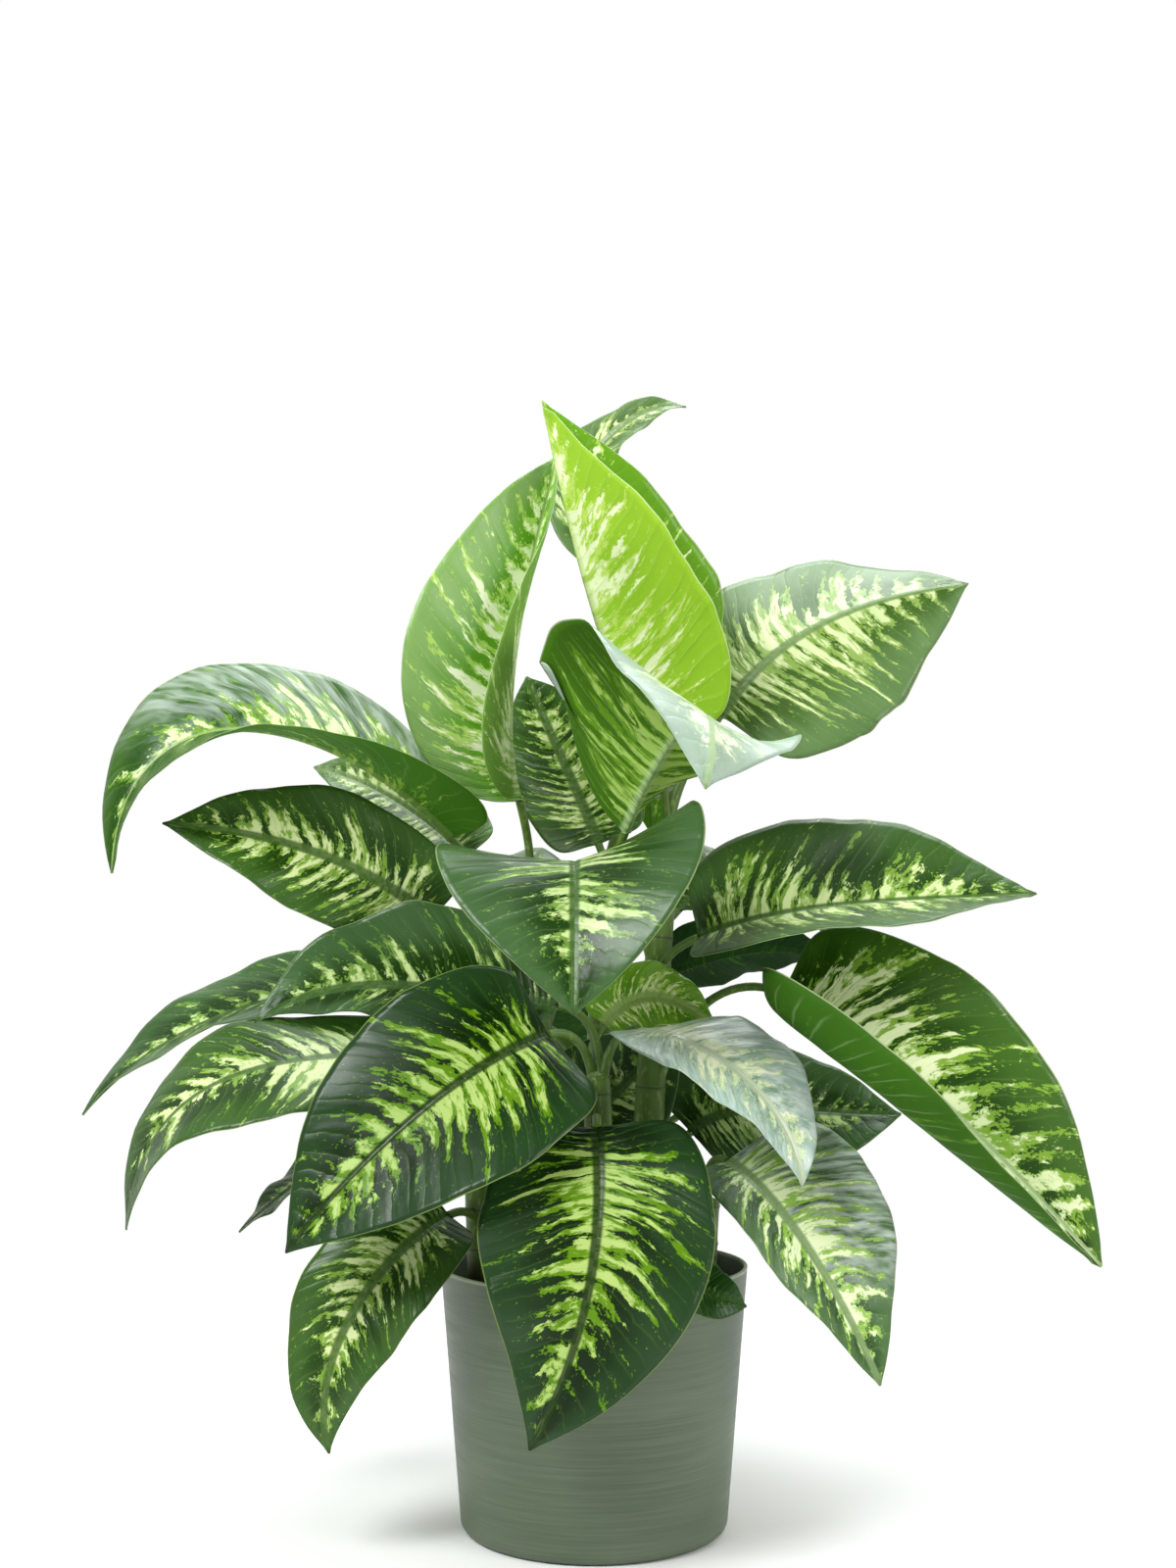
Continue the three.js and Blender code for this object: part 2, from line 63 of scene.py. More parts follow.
# %% The camera
IMAGE_HEIGHT = 1600
CAMERA_PLACE = (-0.005, -1.55, 0.4743)
FOCAL_PIXELS = 1934
HORIZON_ROW = 964

camera_data = bpy.data.cameras.new("camera")
camera_data.sensor_width = 36
camera_data.lens = FOCAL_PIXELS / IMAGE_HEIGHT * camera_data.sensor_width
camera_data.shift_y = (HORIZON_ROW - IMAGE_HEIGHT / 2) / IMAGE_HEIGHT
camera = put("camera", camera_data)
camera.location = CAMERA_PLACE
camera.rotation_euler = (math.pi / 2, 0, 0)
bpy.context.scene.camera = camera
print("lens:", round(camera_data.lens, 2), "shift:", round(camera_data.shift_y, 4))

# %% [markdown]
# ## Writing shaders as expressions
# A finish is a formula: where the cream begins, how a vein dips. Written as node after node it
# is hard to read. This small class wraps one socket, so that `1 - mask * 0.5` adds the Math nodes
# by itself, and any other node comes from one method.

# %% Sockets that can be added and multiplied
class Wire:
    """One output of a shader node, on which the usual operators work."""

    def __init__(self, finish, socket):
        self.finish = finish
        self.socket = socket

    def math(self, operation, *others):
        return self.finish.node("ShaderNodeMath", {"operation": operation}, self, *others)

    def __add__(self, other):
        return self.math("ADD", other)

    def __sub__(self, other):
        return self.math("SUBTRACT", other)

    def __rsub__(self, other):
        return self.finish.node("ShaderNodeMath", {"operation": "SUBTRACT"}, other, self)

    def __mul__(self, other):
        return self.math("MULTIPLY", other)

    def __truediv__(self, other):
        return self.math("DIVIDE", other)

    def __pow__(self, other):
        return self.math("POWER", other)

    def zigzag(self):
        """1 at each whole number, 0 halfway between two of them, and straight in between."""
        return (self.math("FRACT") - 0.5).math("ABSOLUTE") * 2

    __radd__ = __add__
    __rmul__ = __mul__


# %% One finish, with its nodes
class Finish:
    """A material whose nodes are made from Python expressions."""

    def __init__(self, name):
        self.material = bpy.data.materials.new(name)
        self.material.use_nodes = True
        self.nodes = self.material.node_tree.nodes
        self.links = self.material.node_tree.links
        self.surface = self.nodes["Principled BSDF"]

    def plug(self, socket, value):
        if isinstance(value, Wire):
            self.links.new(value.socket, socket)
        elif value is not None:
            socket.default_value = value

    def node(self, kind, settings, *values, output=0):
        made = self.nodes.new(kind)
        for key, setting in settings.items():
            setattr(made, key, setting)
        for socket, value in zip(made.inputs, values):
            self.plug(socket, value)
        return Wire(self, made.outputs[output])

    def mix(self, share, first, second, blend="MIX"):
        settings = {"data_type": "RGBA", "blend_type": blend}
        skipped = [None] * 5
        return self.node("ShaderNodeMix", settings, share, *skipped, first, second, output=2)

    def step(self, value, low, high):
        settings = {"interpolation_type": "SMOOTHSTEP"}
        return self.node("ShaderNodeMapRange", settings, value, low, high, 0.0, 1.0)

    def vector(self, *parts):
        return self.node("ShaderNodeCombineXYZ", {}, *parts)

    def parts(self, vector):
        split = self.nodes.new("ShaderNodeSeparateXYZ")
        self.plug(split.inputs[0], vector)
        return [Wire(self, output) for output in split.outputs]

    def noise(self, vector, scale, detail=2.0, roughness=0.5):
        return self.node("ShaderNodeTexNoise", {}, vector, None, scale, detail, roughness)

    def attribute(self, name):
        return self.node("ShaderNodeAttribute", {"attribute_name": name}, output=1)

    def place(self):
        return self.node("ShaderNodeTexCoord", {}, output=3)

    def bump(self, height, distance, strength):
        return self.node("ShaderNodeBump", {}, strength, distance, None, height)

    def set(self, **values):
        for key, value in values.items():
            self.plug(self.surface.inputs[key.replace("_", " ")], value)
        return self.material


def tone(red, green, blue):
    """A colour as a screen shows it, from 0 to 255, made linear for the shader."""
    def linear(part):
        share = part / 255
        return share / 12.92 if share <= 0.04045 else ((share + 0.055) / 1.055) ** 2.4

    return (linear(red), linear(green), linear(blue), 1.0)


# %% [markdown]
# ## Blades
# A blade is a flat outline that has been bent three ways. Its midrib is a curve through four
# points. The blade stands up from the midrib by an angle on each side, like an open book, and
# each half may curl further toward its margin. Lateral veins leave the midrib and sweep toward
# the tip, so the rows of the mesh follow them, and markings can follow the rows.
# A table holds what differs from leaf to leaf, and one formula makes them all. `half` is how
# wide each half is, `face` the way the upper side looks at the stalk and at the tip, and `fold`
# and `curl` are angles in degrees at these two ends. What a row leaves out is as usual.
# In a pair like (90, 44) the first value is for the left half and the second for the right one,
# as seen on the blade's upper side when looking from the stalk to the tip. A single number
# stands for both halves.

# %% The leaves, in millimetres
USUAL = dict(look="mottled", lobe=0.1, fold=[12, 10], curl=[0, 0])
LEAVES = dict(
    crown_left=dict(
        stalk=("tall_left", 470), half=(90, 44), look="fresh", lobe=0,
        face=[(-0.2, -1, 0.1), (-0.1, -1, 0.3)], fold=[(8, 125), (52, 34)],
        curl=[(5, 10), (10, 15)],
        midrib=[(-60, -30, 590), (-66, -36, 682), (-51, -12, 782), (-31, 22, 880)]),
    crown_right=dict(
        stalk=("tall_right", 500), half=(100, 105), look="fresh",
        face=[(1, -0.2, 0.2), (0.5, -0.85, 0.2)], fold=[(90, 60), (85, 40)],
        midrib=[(46, 10, 632), (8, -5, 722), (-20, -12, 818), (-42, -15, 915)]),
    back_top=dict(
        stalk=("back", 480), half=30, look="grey", face=[(-0.2, -0.8, 0.5), (-0.3, -0.8, 0.6)],
        fold=[12, 8],
        midrib=[(12, 106, 812), (-10, 104, 878), (28, 100, 928), (80, 98, 942)]),
    right_upper=dict(
        stalk=("tall_right", 540), half=(100, 104), lobe=0.12,
        face=[(-0.1, -0.5, 0.87), (0, -0.5, 0.87)], fold=[(12, -34), (8, -40)],
        midrib=[(105, 28, 665), (165, 35, 728), (240, 55, 765), (322, 80, 785)]),
    fold_over=dict(
        stalk=("tall_right", 440), half=(100, 128), look="fresh", lobe=-0.12,
        face=[(0.5, 0.8, 0.4), (0.5, -0.6, 0.9)], fold=[(100, -4), (-30, 0)],
        midrib=[(25, -26, 565), (60, -70, 632), (84, -122, 648), (79, -198, 586)]),
    center_heart=dict(
        stalk=("tall_left", 400), half=106, look="dark", face=[(0, 0, 1), (0, -0.9, 0.4)],
        fold=[(25, 0), (8, 4)], curl=[(15, 20), 0],
        midrib=[(-15, -50, 522), (-15, -108, 535), (-15, -155, 492), (-15, -186, 424)]),
    left_arch=dict(
        stalk=("tall_left", 430), half=80, face=[(0, -0.3, 0.95), (-0.55, -0.8, 0.1)],
        fold=[(45, 25), (25, 15)], curl=[0, (0, -30)],
        midrib=[(-118, 14, 562), (-225, -30, 636), (-328, -58, 632), (-377, -70, 530)]),
    left_upper=dict(
        stalk=("tall_left", 450), half=56, face=[(0.15, -1, 0.18), (0, -0.85, 0.5)], fold=[12, 12],
        curl=[-10, 0],
        midrib=[(-130, -30, 495), (-198, -42, 538), (-268, -52, 560), (-340, -58, 570)]),
    back_left=dict(
        stalk=("back", 440), half=52, look="grey", face=[(0.3, -0.8, 0.5), (0.2, -0.8, 0.5)],
        midrib=[(-110, 92, 550), (-152, 100, 585), (-196, 105, 612), (-245, 110, 630)]),
    left_mid=dict(
        stalk=("front", 330), half=(30, 68), look="dark", lobe=0.02,
        face=[(0, -0.3, 0.95), (-0.3, -0.75, 0.6)], fold=[(-35, 72), (-55, 26)],
        midrib=[(-30, -34, 425), (-111, -58, 438), (-189, -72, 442), (-262, -90, 414)]),
    left_big=dict(
        stalk=("front", 290), half=(98, 86), face=[(-0.35, -0.9, 0.25), (-0.4, -0.85, 0.3)],
        fold=[10, (10, 12)],
        midrib=[(-36, -70, 404), (-100, -108, 372), (-168, -131, 315), (-230, -140, 245)]),
    left_low=dict(
        stalk=("left", 300), half=66, face=[(0, -0.5, 0.9), (-0.8, -0.5, 0.1)],
        fold=[(-15, 0), (10, 5)],
        midrib=[(-130, 40, 385), (-240, 5, 380), (-332, -15, 345), (-385, 8, 240)]),
    left_far=dict(
        stalk=("back", 320), half=56, look="dark", face=[(0, -0.45, 0.9), (-0.4, -0.4, 0.8)],
        fold=[15, 15],
        midrib=[(-160, 110, 435), (-262, 102, 430), (-360, 92, 395), (-440, 80, 328)]),
    left_bottom=dict(
        stalk=("left", 240), half=52, face=[(-0.3, -0.85, 0.5), (-0.2, -1, 0.1)], fold=[10, 10],
        midrib=[(-114, -62, 262), (-164, -88, 222), (-200, -98, 158), (-203, -100, 85)]),
    front=dict(
        stalk=("front", 250), half=88, face=[(0, -0.8, 0.6), (0, -1, 0.1)], fold=[5, 8],
        midrib=[(2, -105, 335), (2, -148, 268), (-12, -162, 190), (-48, -166, 105)]),
    rim_tip=dict(
        stalk=("low_right", 215), half=28, look="dark", face=[(0.2, -0.6, 0.8), (0.2, -0.9, 0.4)],
        fold=[10, 10],
        midrib=[(42, -104, 240), (66, -128, 222), (91, -136, 212), (114, -128, 203)]),
    right_low=dict(
        stalk=("low_right", 235), half=(84, 44), face=[(0.2, -0.8, 0.6), (0.5, -0.8, 0.2)],
        fold=[10, 10],
        midrib=[(106, -40, 302), (144, -76, 268), (184, -92, 208), (220, -92, 135)]),
    right_low_back=dict(
        stalk=("low_right", 250), half=(60, 72), look="dark",
        face=[(0, -0.8, 0.6), (0.2, -0.85, 0.5)], fold=[10, 10],
        midrib=[(82, 52, 316), (132, 56, 334), (198, 64, 332), (262, 66, 330)]),
    right_gloss=dict(
        stalk=("front", 320), half=(68, 48), look="grey",
        face=[(0.3, -0.7, 0.6), (0.4, -0.85, 0.35)], fold=[(-25, 20), (0, 15)],
        midrib=[(34, -62, 408), (80, -96, 396), (129, -118, 357), (156, -126, 293)]),
    right_small=dict(
        stalk=("front", 350), half=30, look="fresh", face=[(0, -0.95, 0.3), (0.3, -0.9, 0.3)],
        fold=[10, 10],
        midrib=[(8, -16, 410), (34, -18, 430), (66, -20, 428), (100, -24, 403)]),
    right_mid=dict(
        stalk=("tall_right", 380), half=96, face=[(0, -0.55, 0.83), (0, -0.55, 0.83)],
        fold=[(18, 22), 21],
        midrib=[(84, -24, 480), (170, -42, 502), (260, -50, 510), (350, -50, 515)]),
    right_dark=dict(
        stalk=("tall_right", 350), half=48, look="dark", face=[(0, 0.6, 0.8), (0, 0.6, 0.8)],
        fold=[10, 10],
        midrib=[(64, 54, 452), (108, 52, 464), (154, 50, 470), (200, 50, 458)]),
    right_arch=dict(
        stalk=("tall_right", 310), half=(90, 112), face=[(0.1, -0.9, 0.4), (0.1, -0.95, 0.2)],
        fold=[(15, 5), (15, 5)], curl=[(0, 140), (0, 120)],
        midrib=[(150, -40, 436), (232, -78, 384), (314, -95, 308), (388, -100, 228)]),
    back_mid=dict(
        stalk=("tall_left", 380), half=58, face=[(0.2, -0.9, 0.3), (0.2, -0.9, 0.3)],
        midrib=[(4, 60, 560), (-18, 70, 612), (-40, 80, 662), (-58, 88, 706)]),
    bud_tip=dict(
        stalk=("back", 250), half=34, look="dark", face=[(0, -0.2, 1), (0, -0.2, 1)],
        fold=[10, 10],
        midrib=[(-175, 92, 318), (-222, 82, 292), (-264, 72, 262), (-302, 62, 230)]),
    inner=dict(
        stalk=("back", 215), half=58, look="dark", face=[(0, -1, 0.2), (0, -1, 0.2)],
        fold=[10, 10],
        midrib=[(-40, 60, 290), (0, 58, 330), (38, 56, 368), (72, 54, 405)]),
    rear_high=dict(
        stalk=("back", 470), half=84, face=[(0, 0.1, 1), (0.1, 0.9, 0.3)], curl=[10, 0],
        midrib=[(25, 140, 595), (40, 200, 650), (52, 262, 655), (58, 305, 580)]),
    rear_left=dict(
        stalk=("back", 400), half=78, face=[(-0.2, 0, 1), (-0.5, 0.8, 0.3)],
        midrib=[(-55, 130, 500), (-110, 190, 545), (-160, 242, 540), (-195, 280, 465)]),
    rear_right=dict(
        stalk=("back", 420), half=80, face=[(0.2, 0, 1), (0.6, 0.7, 0.3)],
        midrib=[(75, 125, 505), (135, 178, 550), (190, 222, 540), (230, 255, 470)]),
    rear_mid=dict(
        stalk=("back", 330), half=86, look="dark", face=[(0, 0.2, 1), (0, 0.9, 0.4)],
        midrib=[(5, 165, 420), (8, 232, 430), (6, 285, 390), (2, 318, 315)]),
    rear_left_low=dict(
        stalk=("back", 240), half=66, face=[(-0.2, 0.1, 1), (-0.6, 0.7, 0.3)],
        midrib=[(-72, 145, 322), (-122, 188, 332), (-165, 225, 298), (-195, 252, 230)]),
    rear_right_low=dict(
        stalk=("back", 250), half=70, face=[(0.2, 0.1, 1), (0.6, 0.7, 0.3)],
        midrib=[(85, 132, 330), (135, 172, 340), (180, 209, 302), (212, 239, 230)]),
    rear_low=dict(
        stalk=("back", 225), half=62, look="dark", face=[(0, 0.3, 1), (0, 1, 0.2)],
        midrib=[(8, 150, 285), (10, 195, 278), (10, 228, 230), (8, 242, 165)]),
)
print("leaves:", len(LEAVES))

# %% [markdown]
# ## From the table to a surface
# `point(q, v)` gives a place on the blade: q runs from the stalk (0) to the tip (1) along the
# veins, and v from the left margin (-1) over the midrib (0) to the right one (1). Everything is
# worked out with whole arrays at once. A slow wave lets the margins rise and fall a little, as
# real ones do.

# %% The shape of a blade
MM = 0.001
RISE, TAPER, LOBE_END, VEIN_SWEEP, VEIN_CURVE = 0.6, 1.02, 0.28, 0.17, 1.5
BASE_HALF, TIP_HALF, BENT_FROM = 4.2 * MM, 0.9 * MM, 12 * MM
WAVE_HEIGHT, RIPPLE_HEIGHT, RIPPLES = 3.2 * MM, 0.5 * MM, 9
FEWEST_WAVES, MORE_WAVES, WAVE_KINDS = 2.2, 0.37, 5
LEAF_PHASE, LEFT_PHASE = 1.7, 2.1
STRAIGHT, NORMAL_STEP, LENGTH_POINTS = 1e-6, 1e-3, 50

widest = RISE / (RISE + TAPER)
outline_peak = widest ** RISE * (1 - widest) ** TAPER


def unit(vectors):
    return vectors / np.linalg.norm(vectors, axis=-1, keepdims=True)


def smooth(values, low, high):
    share = np.clip((values - low) / (high - low), 0, 1)
    return share * share * (3 - 2 * share)


def mix(first, second, share):
    return first + (second - first) * share


class Blade:
    """The middle surface of one leaf, in metres."""

    def __init__(self, number, row):
        self.number = number
        self.row = {**USUAL, **row}
        stations = np.vander([0, 1 / 3, 2 / 3, 1], increasing=True)
        self.cubic = np.linalg.solve(stations, np.array(row["midrib"]) * MM)
        self.faces = unit(np.array(row["face"], float))
        steps = np.diff(self.rib(np.linspace(0, 1, LENGTH_POINTS)), axis=0)
        self.length = float(np.linalg.norm(steps, axis=1).sum())

    def rib(self, u):
        inside = np.maximum(u, 0)[..., None]
        place = sum(self.cubic[power] * inside ** power for power in range(4))
        return place + self.cubic[1] * np.minimum(u, 0)[..., None]

    def slope(self, u):
        inside = np.maximum(u, 0)[..., None]
        return sum(power * self.cubic[power] * inside ** (power - 1) for power in (1, 2, 3))

    def per_side(self, pair, v):
        left, right = np.broadcast_to(pair, 2)
        return np.where(v < 0, left, right)

    def margin(self, q, v):
        shape = q ** RISE * (1 - q) ** TAPER / outline_peak
        half = self.per_side(self.row["half"], v) * MM
        out = np.maximum(half * shape, mix(BASE_HALF, TIP_HALF, q))
        swept = np.sin(np.pi * np.minimum(q / LOBE_END, 1))
        return q - self.row["lobe"] * swept, out

    def bend(self, key, q, v):
        at_base, at_tip = (self.per_side(pair, v) for pair in self.row[key])
        share = smooth(self.margin(q, v)[1], 0, BENT_FROM)
        return np.radians(mix(at_base, at_tip, q)) * share

    def wave(self, q, v):
        waves = FEWEST_WAVES + MORE_WAVES * (self.number % WAVE_KINDS)
        phase = LEAF_PHASE * self.number + np.where(v < 0, LEFT_PHASE, 0)
        slow = WAVE_HEIGHT * v ** 2 * np.sin(2 * np.pi * waves * q + phase)
        ripple = RIPPLE_HEIGHT * np.abs(v) * np.sin(2 * np.pi * RIPPLES * q + 2 * phase)
        return (slow + ripple) * np.sin(np.pi * q) ** 0.5

    def point(self, q, v):
        reach = np.abs(v)
        along, out = self.margin(q, v)
        origin = q - VEIN_SWEEP * np.sin(np.pi * q)
        u = mix(origin, along, reach ** VEIN_CURVE)
        tangent = unit(self.slope(u))
        face = mix(self.faces[0], self.faces[1], np.clip(u, 0, 1)[..., None])
        normal = unit(face - tangent * (face * tangent).sum(-1, keepdims=True))
        across = np.cross(tangent, normal)
        fold = self.bend("fold", q, v)
        curl = self.bend("curl", q, v)
        curl = np.where(np.abs(curl) < STRAIGHT, STRAIGHT, curl)
        sideways = out / curl * (np.sin(fold + curl * reach) - np.sin(fold)) * np.sign(v)
        up = out / curl * (np.cos(fold) - np.cos(fold + curl * reach)) + self.wave(q, v)
        return self.rib(u) + across * sideways[..., None] + normal * up[..., None]

    def normal(self, q, v):
        step = NORMAL_STEP
        over_v = self.point(q, np.minimum(v + step, 1)) - self.point(q, np.maximum(v - step, -1))
        over_q = self.point(np.minimum(q + step, 1), v) - self.point(np.maximum(q - step, 0), v)
        return unit(np.cross(over_v, over_q))


blades = {name: Blade(number, row) for number, (name, row) in enumerate(LEAVES.items())}
print("leaf lengths, mm:", [round(blade.length / MM) for blade in blades.values()])

# %% [markdown]
# ## Thickness, rib and edge
# A real blade is a thin sheet that is thick only along its midrib. The rib stands out below and
# leaves a shallow groove above, and the edge thins out. The mesh is two grids, the upper and the
# under side, joined round the edge, so it is a closed solid. Each point also carries numbers for
# the finish: where it is along the veins, how many metres from the midrib, and on which side.

# %% The mesh of a blade
ROWS, HALF_COLUMNS = 64, 20
ROW_CROWDING, COLUMN_CROWDING = 1.5, 1.3
HALF_THICKNESS, EDGE_LOSS, EDGE_POWER = 0.55 * MM, 0.7, 12
RIB_AT_BASE, RIB_AT_TIP = 3.4 * MM, 0.7 * MM
RIB_WIDTH_AT_BASE, RIB_WIDTH_AT_TIP = 2.6 * MM, 0.9 * MM
GROOVE_DEPTH, GROOVE_WIDTH = 0.35 * MM, 1.5 * MM

# The rows crowd toward the stalk, and the columns toward the midrib
row_places = np.linspace(0, 1, ROWS) ** ROW_CROWDING
half_places = np.linspace(0, 1, HALF_COLUMNS + 1) ** COLUMN_CROWDING
column_places = np.concatenate([-half_places[:0:-1], half_places])


def bell(distance, width):
    return np.exp(-(distance / width) ** 2)


def grid_faces(rows, columns, first):
    """Four corners for each square of a grid, whose points are numbered from first."""
    corner = first + np.arange(rows - 1)[:, None] * columns + np.arange(columns - 1)
    return np.stack([corner, corner + 1, corner + columns + 1, corner + columns], -1).reshape(-1, 4)


def rim_faces(rows, columns):
    """The squares that join the upper grid to the under grid, round all four sides."""
    under = rows * columns
    left = np.arange(rows) * columns
    right = left + columns - 1
    base = np.arange(columns)
    tip = base + (rows - 1) * columns
    loops = []
    for edge, forward in ((left, True), (right, False), (base, False), (tip, True)):
        near, far = (edge[:-1], edge[1:]) if forward else (edge[1:], edge[:-1])
        loops.append(np.stack([near, far, far + under, near + under], -1))
    return np.concatenate(loops)


def carry(mesh, name, values):
    """Stores one vector for each point of a mesh, for its finish to read."""
    layer = mesh.attributes.new(name, "FLOAT_VECTOR", "POINT")
    layer.data.foreach_set("vector", np.ascontiguousarray(values, np.float32).ravel())


def blade_mesh(name, blade):
    q, v = np.meshgrid(row_places, column_places, indexing="ij")
    distance = np.abs(v) * blade.margin(q, v)[1]
    half = HALF_THICKNESS * (1 - EDGE_LOSS * np.abs(v) ** EDGE_POWER)
    rib = mix(RIB_AT_BASE, RIB_AT_TIP, q)
    rib = rib * bell(distance, mix(RIB_WIDTH_AT_BASE, RIB_WIDTH_AT_TIP, q))
    groove = GROOVE_DEPTH * bell(distance, GROOVE_WIDTH)
    middle, normal = blade.point(q, v), blade.normal(q, v)
    upper = middle + normal * (half - groove)[..., None]
    under = middle - normal * (half + rib)[..., None]

    rows, columns = q.shape
    faces = np.concatenate([
        grid_faces(rows, columns, 0),
        grid_faces(rows, columns, rows * columns)[:, ::-1],
        rim_faces(rows, columns),
    ])
    mesh = bpy.data.meshes.new(name)
    points = np.concatenate([upper, under]).reshape(-1, 3)
    mesh.from_pydata(points.tolist(), [], faces.tolist())
    place = np.stack([q, v, np.full_like(q, blade.number)], -1)
    spans = [np.stack([q * blade.length, distance, np.full_like(q, side)], -1) for side in (1, 0)]
    carry(mesh, "place", np.concatenate([place, place]))
    carry(mesh, "span", np.concatenate(spans))
    mesh.shade_smooth()
    return mesh


# %% [markdown]
# ## The finish of a leaf
# The markings of this plant follow its lateral veins: ragged cream strokes start at the midrib
# and thin out toward a plain green margin, each with a lime border. All of it is one field, a
# formula on q and v: high by the midrib, low at the margin, raised and lowered by a noise that
# is drawn out along the veins, and frayed by a finer one. Where the field is above zero the leaf
# is lime, and where it is higher, cream. An old leaf is dark with few strokes, a young one is
# lime nearly all over, and the under side shows the same strokes, faint on some leaves and plain
# on others.
# In a look, `reach` says how far the strokes go, `fray` how ragged they are, `lean` how much
# they favour the right half, and `tail` where they end. The painted sheen is a pale grey film
# painted where the glossy blade mirrors the bright sky: its strength on the left half and on
# the right one, and where it ends. A leaf takes the look in the table unless it has its own.

# %% The colours of each look
# Above: deep green, green, lime, cream and rib. Below: green, lime and cream.
LOOKS = dict(
    crown=dict(
        above=[(92, 150, 30), (128, 166, 92), (168, 204, 92), (238, 244, 208), (158, 186, 114)],
        below=[(120, 164, 66), (176, 208, 112), (238, 244, 206)], reach=0.54, fray=2.6),
    young=dict(
        above=[(92, 150, 16), (114, 164, 40), (172, 212, 80), (240, 248, 190), (150, 182, 90)],
        below=[(120, 170, 30), (176, 212, 90), (238, 246, 196)], reach=0.5, fray=2.6),
    yellow=dict(
        above=[(98, 154, 6), (106, 160, 20), (178, 208, 96), (242, 248, 208), (184, 210, 112)],
        below=[(152, 196, 44), (186, 214, 96), (238, 244, 200)], reach=0.47, fray=2.8),
    # Painted reflection: the grey-greens above stand for the bright sky on the glossy upper side.
    folded=dict(
        above=[(158, 178, 160), (168, 186, 174), (190, 204, 170), (232, 234, 214), (172, 194, 150)],
        below=[(68, 114, 8), (104, 152, 26), (176, 208, 104)], reach=0.56, fray=2.4),
    lit=dict(
        above=[(66, 98, 34), (96, 126, 74), (140, 168, 84), (218, 228, 174), (112, 138, 82)],
        below=[(66, 112, 20), (80, 126, 34), (150, 184, 96)], reach=0.5, fray=2.0),
    sheen=dict(
        above=[(44, 76, 34), (76, 110, 60), (146, 186, 78), (232, 242, 194), (122, 148, 96)],
        below=[(66, 112, 20), (80, 126, 34), (150, 184, 96)], reach=0.56, fray=2.2,
        painted_sheen=(0.9, 0.1, 0.6)),
    striped=dict(
        above=[(10, 36, 0), (32, 62, 26), (92, 134, 6), (176, 200, 112), (26, 52, 4)],
        below=[(40, 80, 2), (54, 96, 8), (96, 136, 40)], reach=0.43, fray=2.0),
    mottled=dict(
        above=[(30, 62, 4), (58, 92, 34), (122, 158, 56), (214, 226, 164), (70, 102, 40)],
        below=[(70, 122, 4), (96, 146, 20), (160, 196, 84)], reach=0.44, fray=2.2),
    arching=dict(
        above=[(34, 70, 6), (66, 104, 34), (134, 172, 58), (236, 244, 196), (176, 200, 144)],
        below=[(52, 98, 2), (60, 106, 6), (96, 136, 40)], reach=0.48, fray=2.4),
    dark=dict(
        above=[(26, 58, 4), (66, 98, 54), (110, 146, 58), (200, 218, 150), (66, 98, 44)],
        below=[(30, 74, 0), (40, 86, 4), (84, 128, 34)], reach=0.32, fray=2.1),
    # Painted reflection: this look's pale grey-green ground stands for the bright sky on a glossy
    # blade.
    grey=dict(
        above=[(124, 156, 130), (158, 184, 172), (216, 230, 178), (252, 252, 228), (196, 208, 180)],
        below=[(78, 116, 50), (96, 134, 64), (160, 188, 120)], reach=0.4, fray=2.4,
        painted_sheen=(0.9, 0.7, 1.0), coat=0.5),
    arched=dict(
        above=[(30, 74, 0), (52, 94, 10), (112, 154, 40), (222, 234, 176), (150, 180, 100)],
        below=[(66, 124, 0), (132, 178, 44), (176, 210, 92)], reach=0.34, fray=2.4, lean=0.5,
        tail=0.5, painted_sheen=(0, 0.5, 0.6)),
    # Partly painted shade: the leaf's own dark green, made nearly black for leaves in others'
    # shadow.
    plain=dict(
        above=[(14, 54, 0), (24, 68, 0), (70, 116, 10), (150, 184, 84), (40, 78, 14)],
        below=[(14, 58, 0), (24, 70, 0), (60, 110, 10)], reach=0.06, fray=1.8),
)
OWN_LOOK = dict(
    crown_left="crown", crown_right="yellow", right_small="young", fold_over="folded",
    right_upper="lit", back_left="lit", back_top="lit", right_low="sheen", front="striped",
    left_big="striped", right_arch="arching", left_arch="arched", right_dark="plain",
    rim_tip="plain",
)
print("looks:", len(LOOKS))

# %% [markdown]
# The rest is the same for all leaves. A pair in brackets is a range: a mask is 0 up to the
# first number, 1 from the second, and rises smoothly in between.

# %% Numbers that all leaves share
VEINS, STROKES, WOBBLE = 24, 21, 1.1
LEAF_SEED, SIDE_SEED = 3.7, 1.9
FIELD = dict(start=0.45, ends=0.4, comb=0.55, stroke=2.0)
FIELD_END, TAIL_LENGTH = (0.0, 0.3), 0.18
LIME_FROM, CREAM_FROM, CREAM_FRAY = (0.0, 0.035), (0.16, 0.5), 1.9
DOT_FROM, DOT_FIELD = (0.66, 0.7), (-0.7, -0.1)
VEIN_FROM, VEIN_FADE, VEIN_PILLOW = (0.8, 1.0), (0.8, 0.97), 2.5
EDGE_FROM, GREEN_FROM, GREEN_FRAY = (0.986, 0.996), (0.25, 0.85), 0.8
RIB = dict(width=0.0078, taper=0.018, fray=0.002)
# A painted sheen: pale grey-green mixed into the ground in streaks, as the sky's reflection on
# gloss.
PAINTED_SHEEN, PAINTED_SHEEN_FROM, PAINTED_SHEEN_FADE = tone(216, 228, 220), (0.28, 0.72), 0.25
LINE_ABOVE, RIB_ABOVE, LINE_BELOW, RIB_BELOW, EDGE_SHARE = 0.12, 0.92, 0.2, 0.5, 0.4
CLOUD_SCALE, CLOUD_CONTRAST, CLOUD_START = 11.0, 2.0, 0.4
BRIGHT, DIM = (1.0, 1.0, 1.0, 1.0), (0.7, 0.78, 0.66, 1.0)
RELIEF = dict(pillow=0.42, line=0.1, crease=2.4, grain=0.06)


